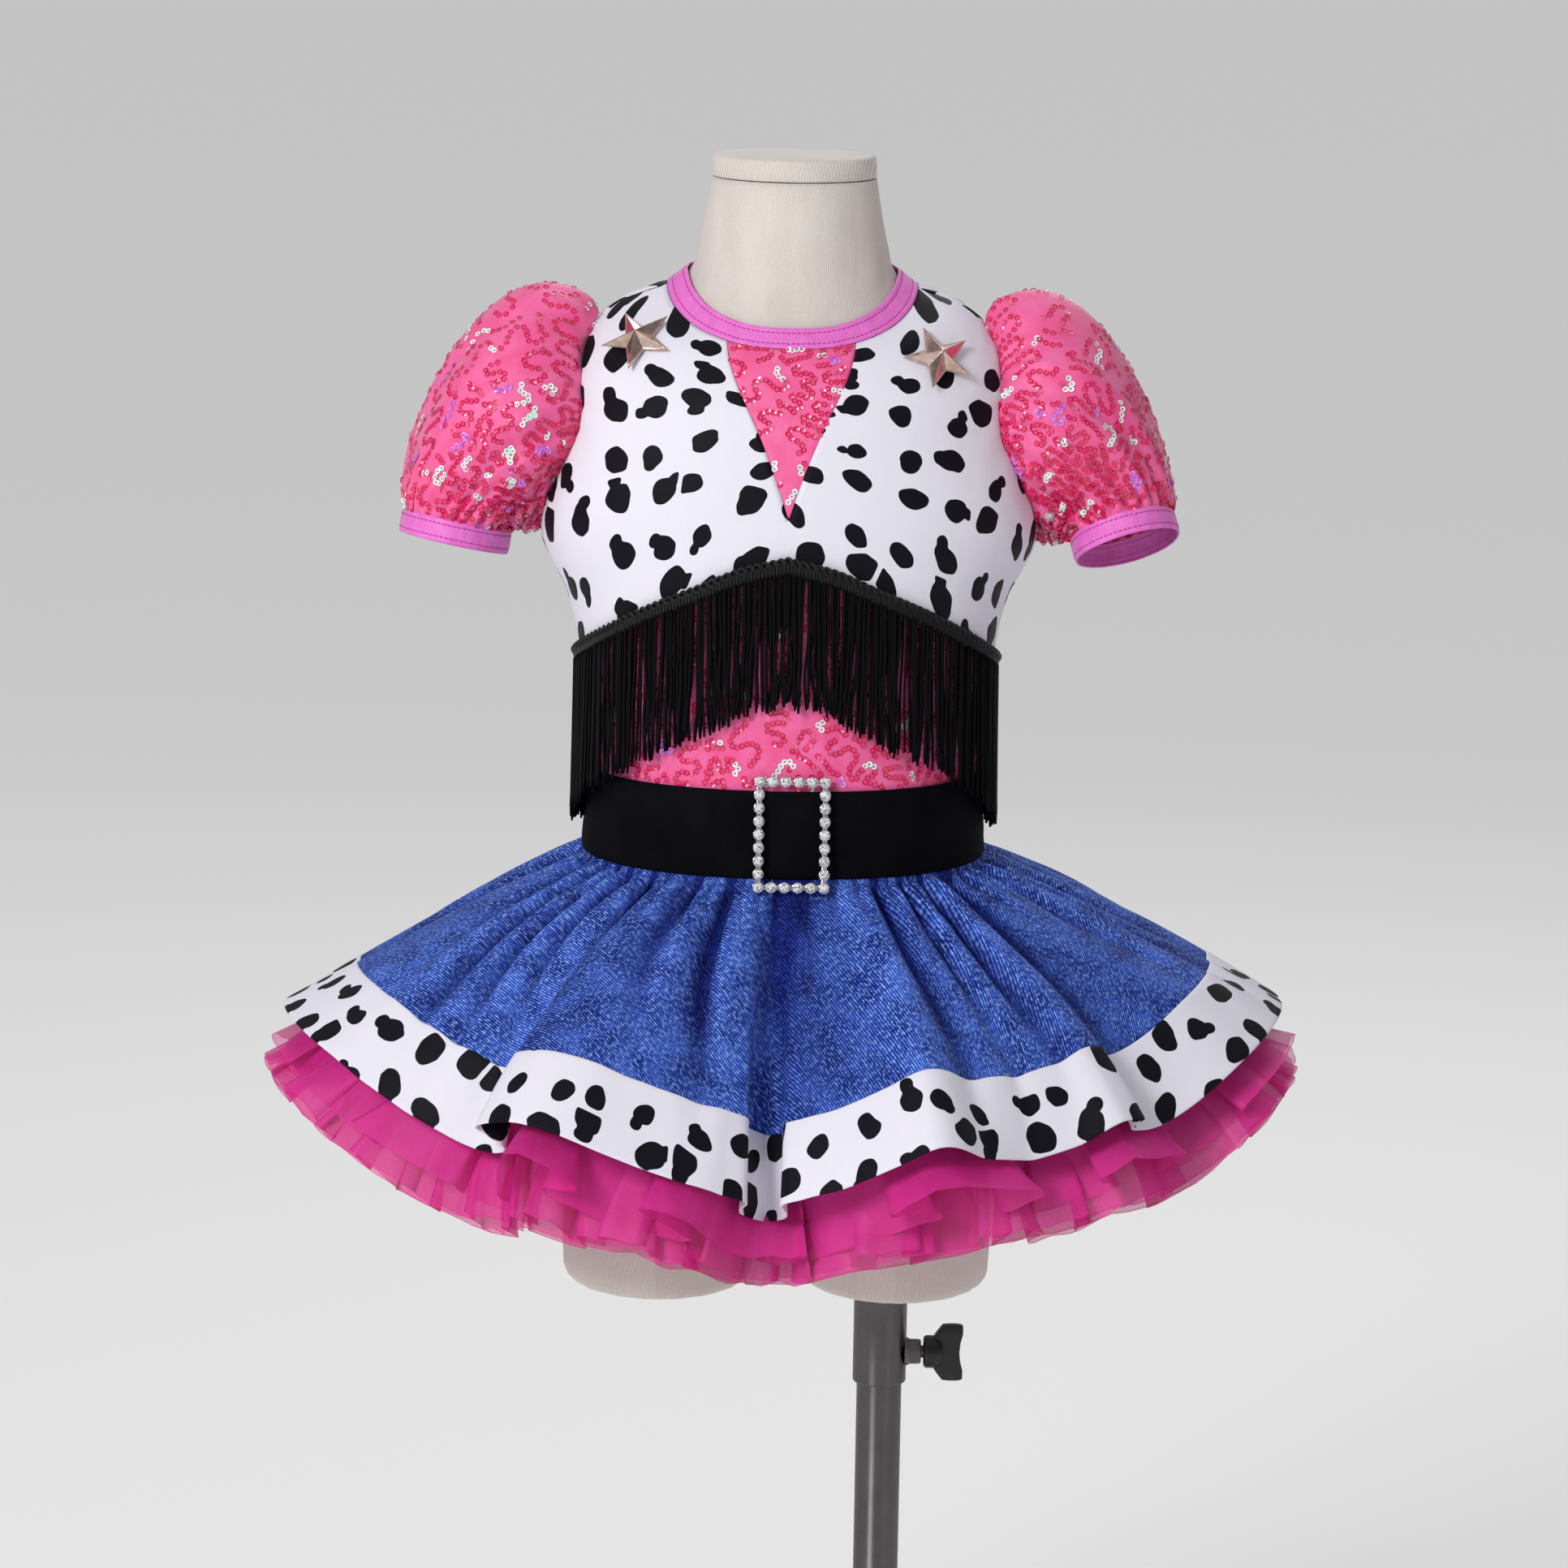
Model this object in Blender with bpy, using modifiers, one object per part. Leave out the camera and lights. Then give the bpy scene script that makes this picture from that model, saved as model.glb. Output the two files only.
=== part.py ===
"""Child's western style dance dress on a limbless dress form with its stand, at real size in metres.

+Z is up and the front of the dress faces -Y, so the viewer's right is +X. The origin is the point of the
floor under the dress's middle. Azimuths are measured about the dress's upright middle line: 0 degrees is
the front, 90 degrees the +X side and 180 degrees the back.
"""

import functools
import math

import bmesh
import bpy
import numpy as np
from mathutils import Matrix, Vector

# Cloth walls and the clear gaps between layers
SEAM_GAP = 0.0003
LAYER_GAP = 0.0005
SKIN_GAP = 0.0010
FORM_INSET = 0.0016
STRETCH_CLOTH = 0.0012
BINDING_CLOTH = 0.0016
BELT_CLOTH = 0.0018
TULLE_WALL = 0.0010

# How far each layer lies out from the form
CLOTH_LIFT = SKIN_GAP
OVER_LIFT = SKIN_GAP + STRETCH_CLOTH + LAYER_GAP

# Heights of the dress's lines above the floor
BELT_BOTTOM = 0.6095
BELT_TOP = 0.6495
YOKE_BOTTOM = 0.590
UNDERARM = 0.760
BINDING_WIDTH = 0.0104

# Body rings: where the form's skin passes, from the hips up to the cut neck. The heights are those of
# the ring's sides, front and back, since the rings of the shoulders and the neck aren't level.
BODY_RINGS = {
    # heights at the side, front and back, half width, depth at the front and back, squareness
    "crotch": (0.4450, 0.4450, 0.4450, 0.1025, 0.0800, 0.0820, 2.3),
    "hip": (0.5000, 0.5000, 0.5000, 0.1045, 0.0855, 0.0920, 2.2),
    "high_hip": (0.5600, 0.5600, 0.5600, 0.0985, 0.0835, 0.0860, 2.2),
    "belt_low": (0.6095, 0.6095, 0.6095, 0.0915, 0.0795, 0.0760, 2.2),
    "belt_high": (0.6495, 0.6495, 0.6495, 0.0890, 0.0765, 0.0720, 2.2),
    "ribs": (0.6950, 0.6950, 0.6950, 0.0945, 0.0758, 0.0735, 2.2),
    "chest": (0.7300, 0.7400, 0.7350, 0.1015, 0.0765, 0.0770, 2.25),
    "underarm": (0.7600, 0.7800, 0.7700, 0.1145, 0.0745, 0.0800, 2.3),
    "mid_arm": (0.8060, 0.8130, 0.8150, 0.1060, 0.0680, 0.0770, 2.3),
    "shoulder_tip": (0.8520, 0.8350, 0.8590, 0.0945, 0.0595, 0.0660, 2.25),
    "shoulder_top": (0.8675, 0.8440, 0.8720, 0.0770, 0.0545, 0.0560, 2.2),
    "neckline": (0.8745, 0.8505, 0.8790, 0.0580, 0.0492, 0.0470, 2.15),
    "neck_base": (0.8825, 0.8595, 0.8860, 0.0480, 0.0432, 0.0405, 2.1),
    "neck_low": (0.8950, 0.8780, 0.8960, 0.0443, 0.0392, 0.0380, 2.05),
    "neck_mid": (0.9110, 0.9060, 0.9110, 0.0410, 0.0378, 0.0375, 2.0),
    "neck_top": (0.9265, 0.9265, 0.9265, 0.0385, 0.0370, 0.0370, 2.0),
}
RING_TABLE = np.array(list(BODY_RINGS.values()))
RING_NAMES = list(BODY_RINGS)

# How much of a ring's height at the front or back it has by a turn away from there
RING_DIP = ((0, 1.0), (20, 0.975), (36, 0.87), (55, 0.64), (71, 0.345), (82, 0.12), (90, 0.0))
RING_RISE = ((0, 1.0), (20, 0.97), (45, 0.75), (70, 0.3), (90, 0.0))

# Form: thigh stumps, neck cap and the bore for the stand
THIGH_CENTRE = 0.0565
THIGH_BOTTOM = 0.400
THIGH_ROWS = (
    # height above the thigh's cut, half width, half depth
    (0.000, 0.0425, 0.0545),
    (0.003, 0.0455, 0.0575),
    (0.030, 0.0460, 0.0610),
    (0.075, 0.0455, 0.0660),
)
NECK_CAP_HEIGHT = 0.0105
NECK_CAP_HALF_WIDTH = 0.0384

# Stand: a round plate, an inner pole and a sliding outer tube with its clamp
POLE_X = 0.0508
POLE_RADIUS = 0.0108
TUBE_INNER = 0.0112
TUBE_OUTER = 0.0128
TUBE_BOTTOM = 0.3480
TUBE_TOP = 0.6000
POLE_TOP = 0.5000
PLATE_RADIUS = 0.1400
PLATE_THICKNESS = 0.0080
SOCKET_RADIUS = 0.0180
SOCKET_TOP = 0.0400
SOCKET_FLOOR = 0.0040
CLAMP_HEIGHT = 0.3625
CLAMP_REACH = 0.0070
CLAMP_RADIUS = 0.0060
SCREW_RADIUS = 0.0030

# Fringed seam between bodice and midriff: its height and its strands' length by azimuth
SEAM_LINE = (
    # azimuth, height, strand length
    (0, 0.7535, 0.0605),
    (16, 0.7480, 0.0615),
    (28, 0.7405, 0.0645),
    (44, 0.7296, 0.0655),
    (60, 0.7170, 0.0670),
    (75, 0.7065, 0.0710),
    (90, 0.6990, 0.0740),
    (110, 0.6930, 0.0730),
    (135, 0.6900, 0.0720),
    (180, 0.6885, 0.0710),
)
STRANDS_A_HALF = 51
ROOTS_A_STRETCH = 3
HEADER_THICKNESS = 0.0016
HEADER_HEIGHT = 0.0050
STRAND_WIDTH = 0.0014

# Sleeves: the armhole's cut and each cuff's place, size and aim, outward and forward tilts in degrees
ARMHOLE_FRONT_CUT = math.radians(22)
ARMHOLE_BACK_CUT = math.radians(21)
SLEEVE_COLUMNS = 28
SLEEVE_WAVES = 7
CUFFS = {
    # side, centre x, y, z, half width, half depth, outward tilt, forward tilt
    "left": (-1, 0.1558, -0.004, 0.7633, 0.0250, 0.0315, 11.7, 6.0),
    "right": (1, 0.1565, -0.010, 0.7662, 0.0242, 0.0305, 17.5, 22.0),
}

# Skirt: lengths from the belt along the cloth, and the droop of each fold below level
DENIM_LENGTH = 0.119
SKIRT_LENGTH = 0.158
SKIRT_HEIGHT = 0.6065
SKIRT_FOLDS = (
    # direction of the fold, droop
    (-88, 30.0),
    (-74, 28.5),
    (-63, 30.0),
    (-54, 37.0),
    (-46, 45.0),
    (-41, 48.0),
    (-37, 41.0),
    (-33, 36.0),
    (-27, 36.8),
    (-17, 44.5),
    (-9, 49.5),
    (-5, 55.0),
    (-1.5, 68.0),
    (2, 54.0),
    (8, 48.5),
    (14, 42.0),
    (19, 37.5),
    (26, 42.0),
    (33, 44.5),
    (39, 42.0),
    (45, 36.5),
    (52, 41.0),
    (58, 40.0),
    (68, 33.0),
    (80, 28.5),
    (92, 29.0),
    (104, 32.5),
    (116, 29.5),
    (128, 35.5),
    (140, 33.0),
    (152, 41.0),
    (165, 36.5),
    (178, 46.0),
    (191, 37.5),
    (205, 41.0),
    (219, 33.0),
    (232, 35.0),
    (246, 29.0),
    (259, 32.5),
)
TULLE_HANG = (
    # turn from the front, droop of the lower ruffle
    (0, 58.0),
    (15, 57.0),
    (27, 53.5),
    (35, 48.0),
    (45, 41.5),
    (55, 35.0),
    (70, 31.0),
    (90, 31.0),
    (110, 31.5),
    (135, 35.0),
    (160, 41.0),
    (180, 43.0),
)
TULLE_LAYERS = {
    # height of its gathered edge, length, change of droop, least droop below the skirt, wave, waves, start
    "tulle_upper": (0.5990, 0.163, -4.5, 0.8, 1.3, 18, 20.0),
    "tulle_lower": (0.5930, 0.178, 0.0, 4.3, 2.0, 17, 24.0),
}

# Buckle and stars
BUCKLE_STONES = (6, 9)
STONE_PITCH = 0.0061
STONE_RADIUS = 0.0029
BUCKLE_BAR = 0.0030
BUCKLE_LEAN = math.radians(9.0)
BUCKLE_CENTRE_X = 0.0040
BUCKLE_CENTRE_Z = 0.6306
BUCKLE_STAND_OFF = 0.0024
BUCKLE_PLATE = 0.0012
STAR_RADIUS = 0.0158
STAR_HEIGHT = 0.0042
STAR_EDGE = 0.0010
STARS = {
    # azimuth, share of the way from the seam up to the neckline, turn about its face
    "star_left": (-63.0, 0.880, 12.0),
    "star_right": (58.0, 0.848, -10.0),
}


def clear_scene():
    for obj in list(bpy.data.objects):
        bpy.data.objects.remove(obj, do_unlink=True)


def new_collection(name):
    collection = bpy.data.collections.new(name)
    bpy.context.scene.collection.children.link(collection)
    return collection


def new_material(name, colour, roughness, metallic=0.0, alpha=1.0):
    material = bpy.data.materials.new(name)
    material.use_nodes = True
    shader = material.node_tree.nodes["Principled BSDF"]
    shader.inputs["Base Color"].default_value = (*colour, 1.0)
    shader.inputs["Roughness"].default_value = roughness
    shader.inputs["Metallic"].default_value = metallic
    shader.inputs["Alpha"].default_value = alpha
    return material


def new_object(name, vertices, faces, material, collection=None):
    mesh = bpy.data.meshes.new(name)
    mesh.from_pydata([tuple(v) for v in vertices], [], faces)
    mesh.validate()
    obj = bpy.data.objects.new(name, mesh)
    (collection or PARTS).objects.link(obj)
    if material:
        mesh.materials.append(material)
    return obj


def object_from_bmesh(name, shape, material, collection=None):
    mesh = bpy.data.meshes.new(name)
    shape.to_mesh(mesh)
    shape.free()
    obj = bpy.data.objects.new(name, mesh)
    (collection or PARTS).objects.link(obj)
    if material:
        mesh.materials.append(material)
    return obj


def shade_round(obj, angle=40):
    obj.data.shade_smooth()
    obj.data.set_sharp_from_angle(angle=math.radians(angle))


def make_helper(obj):
    obj.hide_render = True
    obj.display_type = "WIRE"


def add_boolean(obj, other, operation):
    modifier = obj.modifiers.new(operation.title(), "BOOLEAN")
    modifier.operation = operation
    modifier.object = other
    make_helper(other)


def smooth_table(at, knots, values, period=None):
    """A smooth curve through a table's rows, read at one place. With a period the table goes round."""
    knots, values = np.asarray(knots, float), np.asarray(values, float)
    if period:
        at = (at - knots[0]) % period + knots[0]
        knots = np.concatenate([knots[-2:] - period, knots, knots[:2] + period])
        values = np.concatenate([values[-2:], values, values[:2]])
    at = min(max(at, knots[0]), knots[-1])
    k = min(int(np.searchsorted(knots, at, side="right")) - 1, len(knots) - 2)
    low, high = max(k - 1, 0), min(k + 2, len(knots) - 1)
    start_slope = (values[k + 1] - values[low]) / (knots[k + 1] - knots[low])
    end_slope = (values[high] - values[k]) / (knots[high] - knots[k])
    width = knots[k + 1] - knots[k]
    t = (at - knots[k]) / width
    return (
        (2 * t**3 - 3 * t**2 + 1) * values[k]
        + (t**3 - 2 * t**2 + t) * width * start_slope
        + (3 * t**2 - 2 * t**3) * values[k + 1]
        + (t**3 - t**2) * width * end_slope
    )


def uneven(count):
    """A number from -1 to 1 that looks irregular and is the same each time."""
    wave = math.sin(count * 12.9898) * 43758.5453
    return 2 * (wave - math.floor(wave)) - 1


def ring_points(azimuth):
    """Where each body ring passes at this azimuth, from the hips up."""
    side_z, front_z, back_z, half_width, front, back, power = RING_TABLE.T
    across, along = math.sin(azimuth), math.cos(azimuth)
    depth, end_z, table = (front, front_z, RING_DIP) if along > 0 else (back, back_z, RING_RISE)
    radius = ((abs(across) / half_width) ** power + (abs(along) / depth) ** power) ** (-1 / power)
    turn = math.degrees(math.acos(min(abs(along), 1.0)))
    share = smooth_table(turn, *zip(*table))
    return np.stack([radius * across, -radius * along, side_z + (end_z - side_z) * share], axis=1)


def ring_stations():
    """The way up the skin from the first ring to each ring, averaged over the front, side and back."""
    steps = [
        np.linalg.norm(np.diff(ring_points(azimuth), axis=0), axis=1)
        for azimuth in (0.0, math.pi / 2, math.pi)
    ]
    return np.concatenate([[0.0], np.cumsum(np.mean(steps, axis=0))])


STATIONS = ring_stations()


def station_of(ring):
    return STATIONS[RING_NAMES.index(ring)]


@functools.lru_cache(maxsize=None)
def body_column(azimuth):
    points = ring_points(azimuth)
    slopes = np.gradient(points, STATIONS, axis=0)
    return points, slopes


def skin_point(azimuth, station):
    points, slopes = body_column(azimuth)
    k = min(max(int(np.searchsorted(STATIONS, station, side="right")) - 1, 0), len(STATIONS) - 2)
    width = STATIONS[k + 1] - STATIONS[k]
    t = (station - STATIONS[k]) / width
    return (
        (2 * t**3 - 3 * t**2 + 1) * points[k]
        + (t**3 - 2 * t**2 + t) * width * slopes[k]
        + (3 * t**2 - 2 * t**3) * points[k + 1]
        + (t**3 - t**2) * width * slopes[k + 1]
    )


def skin_normal(azimuth, station):
    turn, step = 1e-3, 1e-4
    station = min(max(station, step), STATIONS[-1] - step)
    around = skin_point(azimuth + turn, station) - skin_point(azimuth - turn, station)
    upward = skin_point(azimuth, station + step) - skin_point(azimuth, station - step)
    normal = np.cross(around, upward)
    return normal / np.linalg.norm(normal)


def body_point(azimuth, station, lift=0.0):
    """A point of a layer that lies this far out from the form's skin."""
    return skin_point(azimuth, station) + lift * skin_normal(azimuth, station)


def station_at(azimuth, height):
    """The station where the column at this azimuth reaches a height below the shoulders."""
    low, high = 0.0, station_of("shoulder_tip")
    for _ in range(30):
        middle = (low + high) / 2
        if skin_point(azimuth, middle)[2] < height:
            low = middle
        else:
            high = middle
    return (low + high) / 2


def fill_grid(rows, closed):
    """Vertices and faces of a grid whose rows run upwards and whose columns run to +X at the front."""
    count = len(rows[0])
    vertices = [point for row in rows for point in row]
    faces = [
        (i * count + j, i * count + (j + 1) % count, (i + 1) * count + (j + 1) % count, (i + 1) * count + j)
        for i in range(len(rows) - 1)
        for j in range(count if closed else count - 1)
    ]
    return vertices, faces


def cloth_wall(name, rows, closed, thickness, material, merge=False):
    """A cloth wall: an open surface through the rows, thickened outwards."""
    obj = new_object(name, *fill_grid(rows, closed), material)
    if merge:
        join_near_points(obj)
    thicken(obj, thickness)
    return obj


def join_near_points(obj):
    shape = bmesh.new()
    shape.from_mesh(obj.data)
    bmesh.ops.remove_doubles(shape, verts=shape.verts, dist=1e-6)
    shape.to_mesh(obj.data)
    shape.free()


def thicken(obj, thickness, outward=1.0):
    modifier = obj.modifiers.new("Cloth thickness", "SOLIDIFY")
    modifier.thickness = thickness
    modifier.offset = outward
    modifier.use_even_offset = True
    modifier.thickness_clamp = 2.0
    shade_round(obj, 60)


def solid_loft(name, rows, material, collection=None):
    """A solid through closed rows, from the lowest to the highest, with flat ends."""
    vertices, faces = fill_grid(rows, closed=True)
    count = len(rows[0])
    faces.append(tuple(reversed(range(count))))
    faces.append(tuple(range(len(vertices) - count, len(vertices))))
    obj = new_object(name, vertices, faces, material, collection)
    shade_round(obj)
    return obj


def cylinder(name, radius, start, end, segments, material, collection=None):
    """A closed cylinder between two points."""
    start, end = Vector(start), Vector(end)
    shape = bmesh.new()
    bmesh.ops.create_cone(
        shape,
        cap_ends=True,
        segments=segments,
        radius1=radius,
        radius2=radius,
        depth=(end - start).length,
    )
    turn = (end - start).to_track_quat("Z", "Y").to_matrix().to_4x4()
    bmesh.ops.transform(shape, matrix=Matrix.Translation((start + end) / 2) @ turn, verts=shape.verts)
    obj = object_from_bmesh(name, shape, material, collection)
    shade_round(obj)
    return obj


FORM_COLUMNS = 36


def form_rows():
    """Closed rows of the form's torso and neck, close together where the neck curves in."""
    stops = (
        ("crotch", "belt_low", 4),
        ("belt_low", "chest", 3),
        ("chest", "mid_arm", 5),
        ("mid_arm", "shoulder_top", 4),
        ("shoulder_top", "neck_low", 5),
        ("neck_low", "neck_top", 2),
    )
    stations = [STATIONS[0]]
    for low, high, parts in stops:
        stations += list(np.linspace(station_of(low), station_of(high), parts + 1)[1:])
    turns = [2 * math.pi * j / FORM_COLUMNS for j in range(FORM_COLUMNS)]
    low, high = station_of("shoulder_top"), station_of("neck_base")
    rows = []
    for station in stations:
        inset = FORM_INSET * min(max((high - station) / (high - low), 0), 1)
        rows.append([body_point(turn, station, -inset) for turn in turns])
    return rows


def thigh_rows(side):
    turns = [2 * math.pi * j / 24 for j in range(24)]
    return [
        [
            (
                side * THIGH_CENTRE + half_width * math.sin(turn),
                -half_depth * math.cos(turn),
                THIGH_BOTTOM + rise,
            )
            for turn in turns
        ]
        for rise, half_width, half_depth in THIGH_ROWS
    ]


def build_form():
    """The form: a headless, armless torso with two short thigh stumps, bored for the stand's tube."""
    form = solid_loft("dress_form", form_rows(), LINEN)
    for side, label in ((-1, "left"), (1, "right")):
        thigh = solid_loft(f"thigh_{label}_shape", thigh_rows(side), None, CUTTERS)
        add_boolean(form, thigh, "UNION")
    bore = cylinder(
        "bore_cutter",
        TUBE_OUTER + SEAM_GAP,
        (POLE_X, 0, THIGH_BOTTOM - 0.02),
        (POLE_X, 0, TUBE_TOP + 0.010),
        28,
        None,
        CUTTERS,
    )
    add_boolean(form, bore, "DIFFERENCE")
    cap = cylinder(
        "neck_cap",
        1.0,
        (0, 0, 0),
        (0, 0, NECK_CAP_HEIGHT),
        FORM_COLUMNS,
        LINEN,
    )
    neck_z = BODY_RINGS["neck_top"][0]
    cap.data.transform(Matrix.Diagonal((NECK_CAP_HALF_WIDTH, 0.0372, 1, 1)))
    cap.data.transform(Matrix.Translation((0, 0, neck_z + SEAM_GAP)))
    edge = cap.modifiers.new("Rounded edge", "BEVEL")
    edge.width = 0.0014
    edge.segments = 1
    edge.limit_method = "ANGLE"


def seam_height(azimuth):
    turn = abs((math.degrees(azimuth) + 180) % 360 - 180)
    angles, heights, _ = zip(*SEAM_LINE)
    return smooth_table(turn, angles, heights)


def strand_length(azimuth):
    turn = abs((math.degrees(azimuth) + 180) % 360 - 180)
    angles, _, lengths = zip(*SEAM_LINE)
    return smooth_table(turn, angles, lengths)


@functools.lru_cache(maxsize=None)
def seam_station(azimuth):
    return station_at(azimuth, seam_height(azimuth))


def bodice_station(azimuth, share):
    """A row of the bodice: share 0 is the fringed seam and share 1 the neckline."""
    seam = seam_station(azimuth)
    return seam + (station_of("neckline") - seam) * share


SIDE = math.pi / 2
UNDERARM_SHARE = (station_at(SIDE, UNDERARM) - seam_station(SIDE)) / (
    station_of("neckline") - seam_station(SIDE)
)
SHOULDER_SHARE = (station_of("shoulder_tip") + 0.006 - seam_station(SIDE)) / (
    station_of("neckline") - seam_station(SIDE)
)
V_TIP_HEIGHT = 0.7750
V_TIP_CUT = 0.045
V_TOP_HALF_WIDTH = 0.0335


def armhole_turn(share, cut):
    """How far a panel reaches round to the side at this share, less at the armhole."""
    reach = SIDE - SEAM_GAP / 2 / 0.08
    along = (share - UNDERARM_SHARE) / (SHOULDER_SHARE - UNDERARM_SHARE)
    if along <= 0 or along >= 1:
        return reach
    return reach - cut * math.sin(math.pi * along) ** 0.7


V_TIP_SHARE = (station_at(0.0, V_TIP_HEIGHT) - seam_station(0.0)) / (
    station_of("neckline") - seam_station(0.0)
)


def v_turn(share):
    """Half the V opening's width at this share, as a turn from the front."""
    if share <= V_TIP_SHARE:
        return 0.0
    half_width = V_TOP_HALF_WIDTH * (share - V_TIP_SHARE) / (1 - V_TIP_SHARE)
    return math.atan2(half_width, -skin_point(0.0, bodice_station(0.0, share))[1])


ARMHOLE_ROWS = 7


def bodice_shares():
    """Rows of the bodice, with one at the underarm, one at the V's tip and one at the shoulder tip."""
    shares = [0.0, V_TIP_SHARE, (V_TIP_SHARE + UNDERARM_SHARE) / 2]
    for k in range(ARMHOLE_ROWS + 1):
        along = (1 - math.cos(math.pi * k / ARMHOLE_ROWS)) / 2
        shares.append(UNDERARM_SHARE + (SHOULDER_SHARE - UNDERARM_SHARE) * along)
    return shares + list(np.linspace(SHOULDER_SHARE, 1.0, 4)[1:])


def build_bodice_front():
    """Bodice front with the V cut out of it. Its two halves meet below the V's tip."""
    left, right = [], []
    for share in bodice_shares():
        outer, inner = armhole_turn(share, ARMHOLE_FRONT_CUT), v_turn(share)
        for half, turns in (
            (left, np.linspace(-outer, -inner, 9)),
            (right, np.linspace(inner, outer, 9)),
        ):
            half.append([body_point(t, bodice_station(t, share), CLOTH_LIFT) for t in turns])
    vertices, faces = fill_grid(left, closed=False)
    more, more_faces = fill_grid(right, closed=False)
    faces += [tuple(index + len(vertices) for index in face) for face in more_faces]
    obj = new_object("bodice_front", vertices + more, faces, PRINT)
    join_near_points(obj)
    thicken(obj, STRETCH_CLOTH)


def build_bodice_back():
    rows = []
    for share in bodice_shares():
        reach = armhole_turn(share, ARMHOLE_BACK_CUT)
        turns = np.linspace(math.pi - reach, math.pi + reach, 19)
        rows.append([body_point(t, bodice_station(t, share), CLOTH_LIFT) for t in turns])
    cloth_wall("bodice_back", rows, False, STRETCH_CLOTH, PRINT)


def build_v_insert():
    """The sequinned V between the two sides of the bodice front."""
    rows = []
    for share in np.linspace(V_TIP_SHARE + V_TIP_CUT, 1.0, 5):
        reach = v_turn(share) - 2 * SEAM_GAP / 0.05
        turns = np.linspace(-reach, reach, 7)
        rows.append([body_point(t, bodice_station(t, share), CLOTH_LIFT) for t in turns])
    cloth_wall("v_insert", rows, False, STRETCH_CLOTH, SEQUIN_CLOTH)


def build_midriff():
    """Sequinned midriff, front and back, from under the waist seam up to the fringed seam."""
    for name, middle in (("midriff_front", 0.0), ("midriff_back", math.pi)):
        rows = []
        reach = SIDE - SEAM_GAP / 2 / 0.09
        turns = np.linspace(middle - reach, middle + reach, FORM_COLUMNS // 2 + 1)
        for share in np.linspace(0, 1, 5):
            row = []
            for turn in turns:
                low = station_at(turn, YOKE_BOTTOM)
                high = seam_station(turn) - SEAM_GAP
                row.append(body_point(turn, low + (high - low) * share, CLOTH_LIFT))
            rows.append(row)
        cloth_wall(name, rows, False, STRETCH_CLOTH, SEQUIN_CLOTH)


def build_neck_binding():
    """Folded binding round the neckline."""
    low = station_of("neckline") + 2 * SEAM_GAP
    turns = [2 * math.pi * j / FORM_COLUMNS for j in range(FORM_COLUMNS)]
    rows = [
        [body_point(turn, low + BINDING_WIDTH * share, CLOTH_LIFT) for turn in turns]
        for share in (0.0, 0.5, 1.0)
    ]
    cloth_wall("neck_binding", rows, True, BINDING_CLOTH, BINDING)


def armhole_ring():
    """Points round the +X armhole on the bodice's cut edge: shoulder tip, front, underarm, back."""
    points = []
    half = SLEEVE_COLUMNS // 2
    for j in range(SLEEVE_COLUMNS):
        forward = j < half
        along = 1 - j / half if forward else (j - half) / half
        share = UNDERARM_SHARE + (SHOULDER_SHARE - UNDERARM_SHARE) * along
        cut = ARMHOLE_FRONT_CUT if forward else ARMHOLE_BACK_CUT
        turn = armhole_turn(share, cut)
        azimuth = turn if forward else math.pi - turn
        lift = OVER_LIFT
        points.append(body_point(azimuth, bodice_station(azimuth, share), lift))
    return points


def cuff_frame(cuff):
    """The cuff's centre, its downward axis, its outer side and its front, on its own side of the dress."""
    side, x, y, z, _, _, outward, forward = cuff
    outward, forward = math.radians(outward), math.radians(forward)
    axis = Vector((side * math.sin(outward), -math.sin(forward), -math.cos(outward))).normalized()
    front = Vector((0, -1, 0))
    front = (front - axis * front.dot(axis)).normalized()
    outer = Vector(front.cross(axis)) * -side
    if outer.x * side < 0:
        outer = -outer
    return Vector((side * x, y, z)), axis, outer, front


def cuff_ring(cuff, drop, grow=0.0):
    """A ring round the cuff, this far down its axis, beginning at its outer side and going forward."""
    centre, axis, outer, front = cuff_frame(cuff)
    half_width, half_depth = cuff[4] + grow, cuff[5] + grow
    return [
        centre
        + axis * drop
        + outer * (half_width * math.cos(turn))
        + front * (half_depth * math.sin(turn))
        for turn in (2 * math.pi * j / SLEEVE_COLUMNS for j in range(SLEEVE_COLUMNS))
    ]


SLEEVE_ROWS = (0.0, 0.09, 0.26, 0.46, 0.67, 0.87, 1.0)


def sleeve_rows(cuff):
    """Puff sleeve: each column swells out of the armhole and turns down and in to the cuff."""
    side = cuff[0]
    centre, axis, _, _ = cuff_frame(cuff)
    armhole = [Vector((side * p[0], p[1], p[2])) for p in armhole_ring()]
    middle = sum(armhole, Vector()) / len(armhole)
    ends = cuff_ring(cuff, -SEAM_GAP)
    rows = [[] for _ in SLEEVE_ROWS]
    for j, (start, end) in enumerate(zip(armhole, ends)):
        chord = (end - start).length
        away = start - middle
        away.x = 0
        leave = (Vector((side * 0.80, 0, 0)) + away.normalized() * 0.85).normalized() * chord * 1.62
        inward = (centre - end).normalized()
        arrive = (axis + inward * 0.35).normalized() * chord * 0.95
        wave = math.cos(2 * math.pi * SLEEVE_WAVES * j / SLEEVE_COLUMNS + 0.9 * uneven(j // 4))
        for row, t in zip(rows, SLEEVE_ROWS):
            point = (
                start * (2 * t**3 - 3 * t**2 + 1)
                + leave * (t**3 - 2 * t**2 + t)
                + end * (3 * t**2 - 2 * t**3)
                + arrive * (t**3 - t**2)
            )
            out = (point - (middle * (1 - t) + centre * t)).normalized()
            row.append(point + out * (0.0016 * wave * math.sqrt(math.sin(math.pi * min(t, 1.0)) + 1e-12)))
    return rows


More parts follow.
